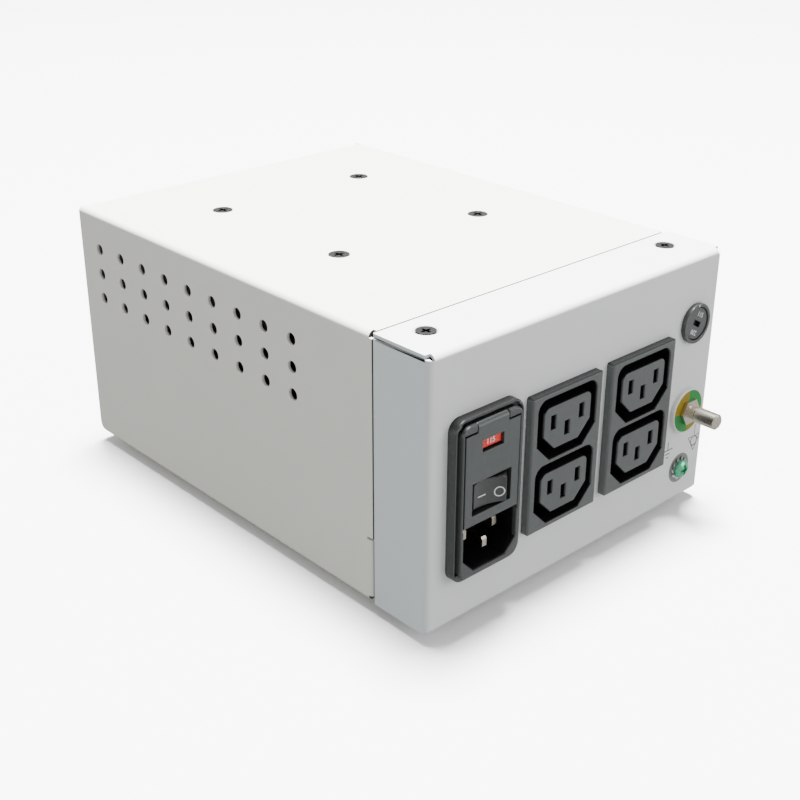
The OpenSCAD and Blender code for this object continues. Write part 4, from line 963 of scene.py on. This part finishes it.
def inlet_cavity() -> Well:
    """Gives the cavity of the inlet.

    Returns:
        A Well inside the cavity's mouth, for painted shade.
    """
    half_m, floor_m, ceiling_m, face_m = 12.05 * MM, 3.5 * MM, 20.2 * MM, 1.6 * MM
    low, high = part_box("inlet_body")
    return Well(
        middle_m=(low.x + high.x) / 2,
        pitch_m=0.0,
        half_m=half_m,
        low_m=low.z + floor_m,
        high_m=low.z + ceiling_m,
        front_m=low.y + face_m,
    )


OtherFinish = FootRubber | Laminations | TubeGlass | QuarteredDisc | PrintInk | StudioPaper


class Palette:
    """Every finish of the object, built once and shared."""

    def __init__(self) -> None:
        """Builds all the materials."""
        finishes = (*self.coats(), *self.plastics(), *self.metals(), *self.wires(), *self.others())
        self.built = {finish.name: finish.build() for finish in finishes}

    def __getitem__(self, name: str) -> Material:
        """Gives a finish by its name."""
        return self.built[name]

    def coats(self) -> tuple[PowderCoat, ...]:
        """Gives the paint of the two sheets.

        Returns:
            The cover's coat and the panel's.
        """
        edge_m = 2.5 * MM
        cut_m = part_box("housing_cover")[0].y + edge_m
        earth = middle("earth_screw")
        spot = BareSpot(earth.x, earth.z)
        return (
            # The cover gets painted gap shade at its front edge, and the panel gets a painted tint on
            # its sides.
            PowderCoat("cover_powder_coat", (0.83, 0.83, 0.77), cut_m=cut_m),
            PowderCoat("panel_powder_coat", (0.785, 0.808, 0.800), spot, painted_side_tint=(0.70, 0.755, 0.765)),
        )

    def plastics(self) -> tuple[MouldedPlastic, ...]:
        """Gives the mouldings' plastics.

        Returns:
            One finish for each kind of moulding.
        """
        # The side and top shares below are painted shade, and painted light where above 1; the wells get
        # painted shade.
        return (
            MouldedPlastic(
                "module_plastic", (0.084, 0.090, 0.090), painted_shade_well=inlet_cavity(),
                side=0.75, top=0.1, gloss=0.3,
            ),
            MouldedPlastic(
                "door_plastic", (0.094, 0.103, 0.102), roughness=0.40,
                side=0.5, top=0.15, gloss=0.3,
            ),
            MouldedPlastic(
                "rocker_plastic", (0.056, 0.060, 0.060), roughness=0.32, grain=0.35, depth=0.003,
                side=0.25, top=0.1,
            ),
            MouldedPlastic("inner_plastic", (0.012, 0.012, 0.013), roughness=0.45),
            MouldedPlastic(
                "outlet_plastic", (0.106, 0.115, 0.114), roughness=0.40, painted_shade_well=outlet_moats(),
                side=1.15, top=0.1, gloss=0.3,
            ),
            MouldedPlastic(
                "selector_plastic", (0.080, 0.084, 0.085), roughness=0.36, painted_shade_well=dial_slot(),
                side=0.6, top=0.3,
            ),
            MouldedPlastic("red_insert", (0.80, 0.035, 0.022), roughness=0.25, grain=0.5, depth=0.002),
            MouldedPlastic("bobbin_nylon", (0.62, 0.58, 0.47), roughness=0.38, grain=0.5, depth=0.004),
            MouldedPlastic(
                "receptacle_sleeve", (0.36, 0.03, 0.02), roughness=0.34, grain=0.5, depth=0.004
            ),
        )

    def metals(self) -> tuple[PlatedMetal, ...]:
        """Gives the metals and their platings.

        Returns:
            One finish for each kind of metal.
        """
        # The screws are painted dark below this level, as shade in their seats.
        recess_m = PANEL_HIGH.z - 0.35 * MM
        return (
            PlatedMetal("zinc_sheet", (0.62, 0.63, 0.62), roughness=0.34, marks=0.8),
            PlatedMetal("zinc_hardware", (0.66, 0.67, 0.66), roughness=0.28, along=Axis.Z, marks=0.4),
            PlatedMetal("nickel_plate", (0.64, 0.59, 0.50), roughness=0.20, marks=0.5, depth=0.001),
            PlatedMetal("contact_brass", (0.72, 0.50, 0.20), roughness=0.30, marks=0.5),
            PlatedMetal("pivot_steel", (0.55, 0.55, 0.55), roughness=0.25, along=Axis.X, marks=0.3),
            PlatedMetal(
                "black_oxide", (0.022, 0.022, 0.022), roughness=0.36, along=Axis.X, marks=0.5,
                depth=0.001, metallic=0.4,
            ),
            PlatedMetal(
                "screw_oxide", (0.012, 0.012, 0.011), roughness=0.42, along=Axis.X, marks=0.5,
                depth=0.001, metallic=0.1, floor_m=recess_m, gloss=0.22,
            ),
            PlatedMetal(
                "green_zinc", (0.15, 0.60, 0.35), roughness=0.26, along=Axis.Z, marks=0.6,
                depth=0.001, metallic=0.85,
            ),
        )

    def wires(self) -> tuple[WoundCopper | Insulation, ...]:
        """Gives the windings' copper and the wires' insulation.

        Returns:
            One finish for each winding and each kind of wire.
        """
        return (
            WoundCopper("primary_copper", (0.50, 0.20, 0.07), 0.7),
            WoundCopper("secondary_copper", (0.62, 0.28, 0.09), 1.1),
            Insulation("brown_wire", (0.10, 0.04, 0.02)),
            Insulation("black_wire", (0.02, 0.02, 0.02)),
            Insulation("orange_wire", (0.60, 0.18, 0.03)),
            Insulation("earth_wire", (0.04, 0.26, 0.03), second=(0.62, 0.50, 0.02)),
        )

    def others(self) -> tuple[OtherFinish, ...]:
        """Gives the finishes that only one or two pieces have.

        Returns:
            The rubber, the core, the glass, the disc, the inks and the paper.
        """
        pin = middle("bonding_disc")
        return (
            FootRubber("foot_rubber", (0.022, 0.022, 0.023)),
            Laminations("core_laminations", (0.20, 0.19, 0.18)),
            TubeGlass("fuse_glass", (0.92, 0.96, 0.96)),
            QuarteredDisc("quartered_disc", pin.x, pin.z),
            PrintInk("dark_ink", (0.045, 0.045, 0.048)),
            PrintInk("white_ink", (0.80, 0.81, 0.80)),
            StudioPaper("studio_paper", (0.96, 0.96, 0.96)),
        )


NODE_FINISHES: dict[str, str] = {
    "housing_cover": "cover_powder_coat",
    "front_pan": "panel_powder_coat",
    "seam_strip": "zinc_sheet",
    "base_plate": "zinc_sheet",
    "rubber_feet": "foot_rubber",
    "foot_screws": "zinc_hardware",
    "foot_nuts": "zinc_hardware",
    "base_screws": "black_oxide",
    "base_nuts": "zinc_hardware",
    "top_screws": "black_oxide",
    "top_nuts": "zinc_hardware",
    "pan_screws": "black_oxide",
    "inlet_body": "module_plastic",
    "inlet_pins": "nickel_plate",
    "switch_frame": "inner_plastic",
    "switch_terminals": "zinc_hardware",
    "rocker": "rocker_plastic",
    "rocker_pivot": "pivot_steel",
    "fuse_door": "door_plastic",
    "door_hinge_pin": "pivot_steel",
    "fuse_carrier": "inner_plastic",
    "fuse_tubes": "fuse_glass",
    "fuse_caps": "nickel_plate",
    "voltage_insert": "red_insert",
    "outlet_block_left": "outlet_plastic",
    "outlet_block_right": "outlet_plastic",
    "outlet_contacts": "contact_brass",
    "selector_body": "selector_plastic",
    "selector_rotor": "selector_plastic",
    "selector_terminals": "zinc_hardware",
    "bonding_pin": "nickel_plate",
    "bonding_disc": "quartered_disc",
    "bonding_lug": "zinc_hardware",
    "bonding_nut": "zinc_hardware",
    "earth_screw": "green_zinc",
    "earth_star_washer": "zinc_hardware",
    "earth_lug": "zinc_hardware",
    "earth_nut": "zinc_hardware",
    "core_stack": "core_laminations",
    "bobbin": "bobbin_nylon",
    "primary_winding": "primary_copper",
    "secondary_winding": "secondary_copper",
    "bracket_front": "zinc_sheet",
    "bracket_rear": "zinc_sheet",
    "core_bolts": "zinc_hardware",
    "core_nuts": "zinc_hardware",
    "winding_tags": "contact_brass",
    "wire_receptacles": "receptacle_sleeve",
    "input_wires": "brown_wire",
    "output_wires": "black_wire",
    "selector_wires": "orange_wire",
    "earth_wires": "earth_wire",
}


def dress_nodes(palette: Palette) -> None:
    """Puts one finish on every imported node.

    Args:
        palette: The finishes.
    """
    for node, finish in NODE_FINISHES.items():
        data = frame["nodes"][node].data
        data.materials.clear()
        data.materials.append(palette[finish])
    LOG.info("%d packed nodes dressed", len(NODE_FINISHES))


@dataclass
class Case:
    """The sheet-metal cover and pan with softened, painted edges.

    bend, flange_edge and lip are distances of the pan's corner details from its
    sides, its top or its base, by which its vertices are found.
    """

    palette: Palette
    paint_round: float = 0.08
    seam: float = 0.3
    bend: float = 2.2
    relief_run: float = 0.8
    upper_relief: float = 0.7
    lower_relief: float = 1.2
    flange_edge: float = 1.7
    flange_gap: float = 0.5
    base_line: float = 0.02
    lip: float = 1.3
    near: float = 0.01

    def build(self) -> None:
        """Builds both sheets.

        The paint is thicker on a cut edge, which makes it round.
        """
        for node, name, finish in (
            ("housing_cover", "case_cover", "cover_powder_coat"),
            ("front_pan", "case_panel", "panel_powder_coat"),
        ):
            mesh = merged(node)
            if node == "front_pan":
                self.open_seams(mesh)
            round_edges(mesh, self.paint_round)
            keep_inside(mesh, node)
            finish_piece(mesh, name, "chassis", self.palette[finish], [node])

    def open_seams(self, mesh: Mesh) -> None:
        """Trims the pan where it meets the cover and where its flanges meet.

        Args:
            mesh: The pan's mesh.
        """
        near, bend = self.near * MM, self.bend * MM
        for vert in mesh.verts:
            at = vert.co
            if at.y > PANEL_HIGH.y - near:
                at.y -= self.seam * MM
            inward = PANEL_HIGH.x - abs(at.x)
            if inward > bend - near:
                continue
            share = max(0.0, min(1.0, (bend - inward) / (self.relief_run * MM)))
            below_top, above_base = PANEL_HIGH.z - at.z, at.z - BOX_Z
            if abs(below_top - bend) < near:
                at.z += self.upper_relief * MM * share
            elif abs(above_base - bend) < near:
                at.z -= self.lower_relief * MM * share
            elif abs(below_top - self.flange_edge * MM) < near:
                at.z -= self.flange_gap * MM
            elif abs(above_base - self.flange_edge * MM) < near:
                at.z = BOX_Z + self.base_line * MM
            elif above_base < self.lip * MM and inward < near:
                at.x = math.copysign(PANEL_HIGH.x - self.lip * MM, at.x)


@dataclass
class InletModule:
    """The visible plastic of the inlet module, with its marks.

    rim_front is the range in front of the panel that holds the rim's edge. tilt,
    apex and dish are the rocker's turn at rest in degrees, the height of its
    dish's lowest line over the pivot, and the dish's radius.
    """

    palette: Palette
    rim_round: float = 0.62
    rim_reach: float = 1.5
    rim_front: Point = (3.0, 4.2)
    face_round: float = 0.5
    face_front: float = 4.5
    door_round: float = 0.22
    rocker_round: float = 0.3
    tilt: float = 13.0
    apex: float = 3.4
    dish: float = 13.36
    ink: float = 0.03
    line_ends: Stroke = ((-4.15, -0.75), (-0.9, -0.75))
    line_width: float = 0.42
    circle_centre: Point = (4.0, -0.8)
    circle_radius: float = 1.6
    circle_width: float = 0.38
    boss: float = 1.7
    boss_root: float = 1.0
    boss_size: Point = (9.0, 3.2)
    boss_up: float = 0.2
    boss_round: float = 0.12
    number_shift: Point = (-0.3, 0.25)
    number_height: float = 1.85
    number_depth: float = 0.04
    number_bold: float = 0.05

    def build(self) -> None:
        """Builds every piece of the module."""
        self.build_body()
        self.build_door()
        self.build_rocker()
        self.build_marks()
        self.build_insert()
        self.build_number()

    def build_body(self) -> None:
        """Rounds the moulded body's rim and its raised face."""
        front = PANEL_LOW.y
        low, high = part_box("inlet_body")
        behind, ahead = (front - value * MM for value in self.rim_front)
        mesh = merged("inlet_body")

        def on_rim(at: Vector) -> bool:
            """Says whether an edge belongs to the rim's outer front edge."""
            inward = min(at.x - low.x, high.x - at.x, at.z - low.z, high.z - at.z)
            return inward < self.rim_reach * MM and ahead < at.y < behind

        def on_face(at: Vector) -> bool:
            """Says whether an edge belongs to the raised face."""
            return at.y < front - self.face_front * MM

        round_edges(mesh, self.rim_round, on_rim, segments=4)
        round_edges(mesh, self.face_round, on_face, segments=3)
        plastic = self.palette["module_plastic"]
        finish_piece(mesh, "module_body", "chassis", plastic, ["inlet_body"])

    def build_door(self) -> None:
        """Rounds the fuse door's edges."""
        mesh = merged("fuse_door")
        round_edges(mesh, self.door_round, sharper=50.0)
        plastic = self.palette["door_plastic"]
        finish_piece(mesh, "module_door", "fuse_door_body", plastic, ["fuse_door"])

    def build_rocker(self) -> None:
        """Rounds the rocker's edges."""
        mesh = merged("rocker")
        round_edges(mesh, self.rocker_round, segments=3, sharper=40.0)
        plastic = self.palette["rocker_plastic"]
        finish_piece(mesh, "switch_rocker", "rocker_body", plastic, ["rocker"])

    def build_marks(self) -> None:
        """Makes the line and the circle on the rocker, laid on its dish."""
        joint = next(joint for joint in frame["joints"] if joint["name"] == "rocker_hinge")
        mesh = bmesh.new()
        flat = Matrix.Identity(4)
        add_bar(mesh, flat, *self.line_ends, self.line_width, self.ink)
        add_ring(mesh, flat, self.circle_centre, self.circle_radius, self.circle_width, self.ink)
        for vert in mesh.verts:
            across = vert.co.x / MM
            rise = self.apex + self.dish - math.sqrt(self.dish**2 - across**2)
            vert.co.z += (rise - self.ink / 3) * MM
        place = facing_front(joint["pos_m"]) @ Matrix.Rotation(-math.radians(self.tilt), 4, "Y")
        bmesh.ops.transform(mesh, matrix=place, verts=mesh.verts)
        finish_piece(mesh, "rocker_marks", "rocker_body", self.palette["white_ink"])

    def build_insert(self) -> None:
        """Raises the middle of the red insert into the door's window."""
        centre = middle("voltage_insert")
        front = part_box("voltage_insert")[0].y - self.boss * MM
        depth = (self.boss + self.boss_root) * MM
        place = Matrix.Translation((centre.x, front + depth / 2, centre.z + self.boss_up * MM))
        size = Matrix.Diagonal((self.boss_size[0] * MM, depth, self.boss_size[1] * MM, 1.0))
        mesh = merged("voltage_insert")
        bmesh.ops.create_cube(mesh, size=1.0, matrix=place @ size)
        round_edges(mesh, self.boss_round)
        plastic = self.palette["red_insert"]
        finish_piece(mesh, "red_window_insert", "chassis", plastic, ["voltage_insert"])

    def build_number(self) -> None:
        """Prints the voltage on the red insert."""
        centre = middle("voltage_insert")
        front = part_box("voltage_insert")[0].y - self.boss * MM
        across, up = (value * MM for value in self.number_shift)
        mesh = bmesh.new()
        place = facing_front((centre.x + across, front, centre.z + up))
        add_digits(mesh, "115", self.number_height, place, self.number_depth, self.number_bold)
        finish_piece(mesh, "insert_number", "chassis", self.palette["white_ink"])


@dataclass
class Outlets:
    """The two double outlet blocks with softened edges."""

    palette: Palette
    mouth_round: float = 0.25
    mouth_depth: float = 0.3

    def build(self) -> None:
        """Builds both blocks."""
        plastic = self.palette["outlet_plastic"]
        for side in ("left", "right"):
            node = f"outlet_block_{side}"
            face_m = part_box(node)[0].y + self.mouth_depth * MM

            def at_mouth(at: Vector) -> bool:
                """Says whether an edge lies in the block's front face."""
                return at.y < face_m

            mesh = merged(node)
            round_edges(mesh, self.mouth_round, at_mouth, segments=3)
            finish_piece(mesh, f"outlets_{side}", "chassis", plastic, [node])


@dataclass
class Selector:
    """The voltage selector with its arrow and its numbers, each with its turn in degrees."""

    palette: Palette
    ring_round: float = 0.3
    dial_round: float = 0.15
    ink: float = 0.03
    arrow_radius: float = 0.62
    arrow_reach: float = 6.9
    number_height: float = 1.75
    number_reach: float = 3.4
    number_bold: float = 0.02
    numbers: tuple[tuple[str, float], ...] = (("115", -28.0), ("230", 152.0))

    def build(self) -> None:
        """Builds the ring, the dial and their marks."""
        plastic = self.palette["selector_plastic"]
        ring = merged("selector_body")
        round_edges(ring, self.ring_round)
        finish_piece(ring, "selector_ring", "chassis", plastic, ["selector_body"])
        dial = merged("selector_rotor")
        round_edges(dial, self.dial_round)
        finish_piece(
            dial, "selector_dial", "selector_body_rotor", plastic, ["selector_rotor"]
        )
        self.build_arrow()
        self.build_numbers()

    def face(self, node: str) -> Matrix:
        """Gives a frame about the ring's middle, on the front of the ring's or the dial's node."""
        centre = middle("selector_body")
        return facing_front((centre.x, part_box(node)[0].y, centre.z))

    def build_arrow(self) -> None:
        """Makes the small arrow at the top of the ring."""
        place = Matrix.Translation((0.0, self.arrow_reach * MM, self.ink * MM / 3))
        pointing = Matrix.Rotation(math.pi, 4, "Z")
        radius_m = self.arrow_radius * MM
        mesh = bmesh.new()
        bmesh.ops.create_cone(
            mesh, cap_ends=True, segments=3, radius1=radius_m, radius2=radius_m, depth=self.ink * MM,
            matrix=self.face("selector_body") @ place @ pointing,
        )
        finish_piece(mesh, "selector_arrow", "chassis", self.palette["white_ink"])

    def build_numbers(self) -> None:
        """Prints the two voltages round the dial's slot."""
        outward = Matrix.Translation((0.0, self.number_reach * MM, 0.0))
        mesh = bmesh.new()
        for words, turn in self.numbers:
            place = self.face("selector_rotor") @ Matrix.Rotation(math.radians(turn), 4, "Z") @ outward
            add_digits(mesh, words, self.number_height, place, self.ink, self.number_bold)
        ink = self.palette["white_ink"]
        finish_piece(mesh, "selector_numbers", "selector_body_rotor", ink)


@dataclass
class Studs:
    """The bonding pin, the earth screw with its washer, and their signs.

    pin_tip and pin_body are distances from the pin's end: in front of the first
    its edges are chamfered, and behind the second they are softened.
    """

    palette: Palette
    pin_chamfer: float = 0.55
    pin_tip: float = 0.2
    pin_round: float = 0.1
    pin_body: float = 1.2
    screw_round: float = 0.18
    washer_radius: float = 2.75
    washer_width: float = 1.3
    washer_share: float = 0.8
    teeth: int = 10
    tooth_reach: float = 3.85
    tooth_size: Point = (1.4, 1.35)
    tooth_share: float = 0.7
    tooth_twist: float = 24.0
    tooth_round: float = 0.08

    def build(self) -> None:
        """Builds the metal in the panel's right column and its signs."""
        self.build_pin()
        self.build_screw()
        self.build_washer()
        self.build_signs()

    def build_pin(self) -> None:
        """Chamfers the end of the bonding pin and softens its other edges."""
        tip_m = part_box("bonding_pin")[0].y

        def at_tip(at: Vector) -> bool:
            """Says whether an edge lies at the pin's end."""
            return at.y < tip_m + self.pin_tip * MM

        def on_body(at: Vector) -> bool:
            """Says whether an edge lies behind the chamfer."""
            return at.y > tip_m + self.pin_body * MM

        mesh = merged("bonding_pin")
        round_edges(mesh, self.pin_chamfer, at_tip, segments=1)
        round_edges(mesh, self.pin_round, on_body)
        nickel = self.palette["nickel_plate"]
        finish_piece(mesh, "bonding_stud", "chassis", nickel, ["bonding_pin"])

    def build_screw(self) -> None:
        """Softens the earth screw's edges."""
        mesh = merged("earth_screw")
        round_edges(mesh, self.screw_round)
        zinc = self.palette["green_zinc"]
        finish_piece(mesh, "earth_stud", "chassis", zinc, ["earth_screw"])

    def build_washer(self) -> None:
        """Makes the toothed washer with twisted teeth."""
        low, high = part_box("earth_star_washer")
        centre = (low + high) / 2
        thick = high.y - low.y
        mesh = bmesh.new()
        flat = facing_front((centre.x, high.y, centre.z))
        ring_depth = thick / MM * self.washer_share
        add_ring(mesh, flat, (0.0, 0.0), self.washer_radius, self.washer_width, ring_depth)
        outward = Matrix.Translation((self.tooth_reach * MM, 0.0, thick / 2))
        twisted = outward @ Matrix.Rotation(math.radians(self.tooth_twist), 4, "X")
        length, width = (value * MM for value in self.tooth_size)
        size = Matrix.Diagonal((length, width, thick * self.tooth_share, 1.0))
        for index in range(self.teeth):
            spoke = flat @ Matrix.Rotation(2 * math.pi * index / self.teeth, 4, "Z")
            bmesh.ops.create_cube(mesh, size=1.0, matrix=spoke @ twisted @ size)
        round_edges(mesh, self.tooth_round)
        zinc = self.palette["zinc_hardware"]
        finish_piece(mesh, "toothed_washer", "chassis", zinc, ["earth_star_washer"])

    def build_signs(self) -> None:
        """Prints the earth sign and the bonding sign on the panel."""
        mesh = bmesh.new()
        EarthSign().draw(mesh)
        BondingSign().draw(mesh)
        finish_piece(mesh, "panel_signs", "chassis", self.palette["dark_ink"])


@dataclass(frozen=True)
class EarthSign:
    """The standard earth sign: a stem on three bars that get shorter."""

    across: float = 51.2
    stem_top: float = 27.2
    bars: tuple[Point, ...] = ((23.75, 3.0), (22.2, 1.45), (20.65, 0.7))
    line: float = 0.38
    ink: float = 0.03

    def draw(self, mesh: Mesh) -> None:
        """Adds the sign to a mesh.

        Args:
            mesh: The mesh that grows.
        """
        place = on_panel(self.across, 0.0)
        add_bar(mesh, place, (0.0, self.stem_top), (0.0, self.bars[0][0]), self.line, self.ink)
        for up, half in self.bars:
            add_bar(mesh, place, (-half, up), (half, up), self.line, self.ink)


@dataclass(frozen=True)
class BondingSign:
    """The standard bonding sign: a ring in a triangle, with a stem."""

    across: float = 67.6
    up: float = 22.3
    ring: float = 1.95
    ring_line: float = 0.4
    line: float = 0.27
    ink: float = 0.03
    strokes: tuple[Stroke, ...] = (
        ((0.0, 1.9), (0.0, 6.9)),
        ((-3.6, 2.1), (-1.3, 2.1)),
        ((1.3, 2.1), (3.6, 2.1)),
        ((-3.6, 2.1), (-2.3, -0.1)),
        ((3.6, 2.1), (2.3, -0.1)),
        ((-1.7, -1.2), (0.0, -3.9)),
        ((1.7, -1.2), (0.0, -3.9)),
    )

    def draw(self, mesh: Mesh) -> None:
        """Adds the sign to a mesh.

        Args:
            mesh: The mesh that grows.
        """
        place = on_panel(self.across, self.up)
        add_ring(mesh, place, (0.0, 0.0), self.ring, self.ring_line, self.ink)
        for start, end in self.strokes:
            add_bar(mesh, place, start, end, self.line, self.ink)


@dataclass
class TopScrews:
    """The countersunk screws with softened recesses."""

    palette: Palette
    edge_round: float = 0.12
    shank: float = 1.6
    hanging_share: float = 0.97
    seam_share: float = 0.87

    def build(self) -> None:
        """Builds the six black screws."""
        for node, name, share in (
            ("top_screws", "hanging_screws", self.hanging_share),
            ("pan_screws", "seam_screws", self.seam_share),
        ):
            mesh = merged(node)
            self.narrow(mesh, share)
            round_edges(mesh, self.edge_round)
            finish_piece(mesh, name, "chassis", self.palette["screw_oxide"], [node])

    def narrow(self, mesh: Mesh, share: float) -> None:
        """Makes every head a little narrower than its seat.

        Args:
            mesh: The mesh of several upright screws.
            share: Share of the width that is kept.
        """
        rest = set(mesh.verts)
        while rest:
            screw = {rest.pop()}
            front = set(screw)
            while front:
                front = {edge.other_vert(vert) for vert in front for edge in vert.link_edges} & rest
                rest -= front
                screw |= front
            spread = [vert.co for vert in screw]
            across, along = zip(*(at.xy for at in spread))
            axis = Vector(((min(across) + max(across)) / 2, (min(along) + max(along)) / 2))
            for at in spread:
                offset = Vector((at.x - axis.x, at.y - axis.y))
                if offset.length > self.shank * MM:
                    at.x, at.y = axis.x + offset.x * share, axis.y + offset.y * share


@dataclass(frozen=True)
class Lamp:
    """A soft square light that shines at the object."""

    name: str
    place_m: tuple[float, float, float]
    power: float
    bounces: int
    size_m: float = 0.9

    def hang(self) -> None:
        """Hangs the lamp and turns it to the object."""
        target = Vector((0.0, 0.0, 0.05))
        data = bpy.data.lights.new(self.name, "AREA")
        data.size = self.size_m
        data.energy = self.power
        data.cycles.max_bounces = self.bounces
        lamp = bpy.data.objects.new(self.name, data)
        lamp.location = self.place_m
        lamp.rotation_euler = (Vector(self.place_m) - target).to_track_quat("Z", "Y").to_euler()
        bpy.context.scene.collection.objects.link(lamp)


@dataclass
class Studio:
    """Camera, floor and lights."""

    palette: Palette
    azimuth: float = -42.70
    elevation: float = 25.04
    roll: float = 0.19
    place_m: tuple[float, float, float] = (-0.3139, -0.3403, 0.2553)
    focal_px: float = 1302.5
    frame_px: float = 800.0
    centre_y_px: float = 385.0
    sensor: float = 36.0
    paper_half_m: float = 6.0
    paper_drop_m: float = 0.00002
    room_light: float = 0.72
    lamps: tuple[Lamp, ...] = (
        Lamp("top_light", (0.30, 0.30, 3.0), 850.0, 0),
        Lamp("front_light", (0.9, -1.3, 0.6), 9.0, 8),
    )

    def build(self) -> None:
        """Builds the studio."""
        self.build_camera()
        self.build_floor()
        self.build_lights()

    def build_camera(self) -> None:
        """Puts the camera where the photograph was taken from."""
        turn, lift, lean = (math.radians(value) for value in (self.azimuth, self.elevation, self.roll))
        level = math.cos(lift)
        back = Vector((math.sin(turn) * level, -math.cos(turn) * level, math.sin(lift)))
        right = Vector((0.0, 0.0, 1.0)).cross(back).normalized()
        up = back.cross(right)
        rolled_right = right * math.cos(lean) + up * math.sin(lean)
        rolled_up = up * math.cos(lean) - right * math.sin(lean)
        turned = Matrix((rolled_right, rolled_up, back)).transposed().to_4x4()
        data = bpy.data.cameras.new("studio_camera")
        data.sensor_width = self.sensor
        data.lens = self.focal_px / self.frame_px * self.sensor
        data.shift_y = (self.centre_y_px - self.frame_px / 2) / self.frame_px
        data.clip_start = 0.01
        camera = bpy.data.objects.new("studio_camera", data)
        camera.matrix_world = Matrix.Translation(self.place_m) @ turned
        bpy.context.scene.collection.objects.link(camera)
        bpy.context.scene.camera = camera

    def build_floor(self) -> None:
        """Lays the pale paper just under the object's feet."""
        mesh = bmesh.new()
        bmesh.ops.create_grid(mesh, x_segments=4, y_segments=4, size=self.paper_half_m)
        data = bpy.data.meshes.new("studio_floor")
        mesh.to_mesh(data)
        mesh.free()
        data.materials.append(self.palette["studio_paper"])
        floor = bpy.data.objects.new("studio_floor", data)
        floor.location.z = -self.paper_drop_m
        bpy.context.scene.collection.objects.link(floor)

    def build_lights(self) -> None:
        """Fills the room with pale light and hangs the soft lamps."""
        world = bpy.data.worlds.new("studio_room")
        world.use_nodes = True
        shade = world.node_tree.nodes["Background"]
        shade.inputs["Color"].default_value = (1.0, 1.0, 1.0, 1.0)
        shade.inputs["Strength"].default_value = self.room_light
        bpy.context.scene.world = world
        for lamp in self.lamps:
            lamp.hang()


def main() -> None:
    """Builds every piece in order and reports it."""
    logging.basicConfig(level=logging.INFO, format="%(name)s: %(message)s")
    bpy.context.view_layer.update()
    palette = Palette()
    dress_nodes(palette)
    for group in (Case, InletModule, Outlets, Selector, Studs, TopScrews, Studio):
        group(palette).build()
        LOG.info("%s is ready", group.__name__)


if __name__ == "__main__":
    main()
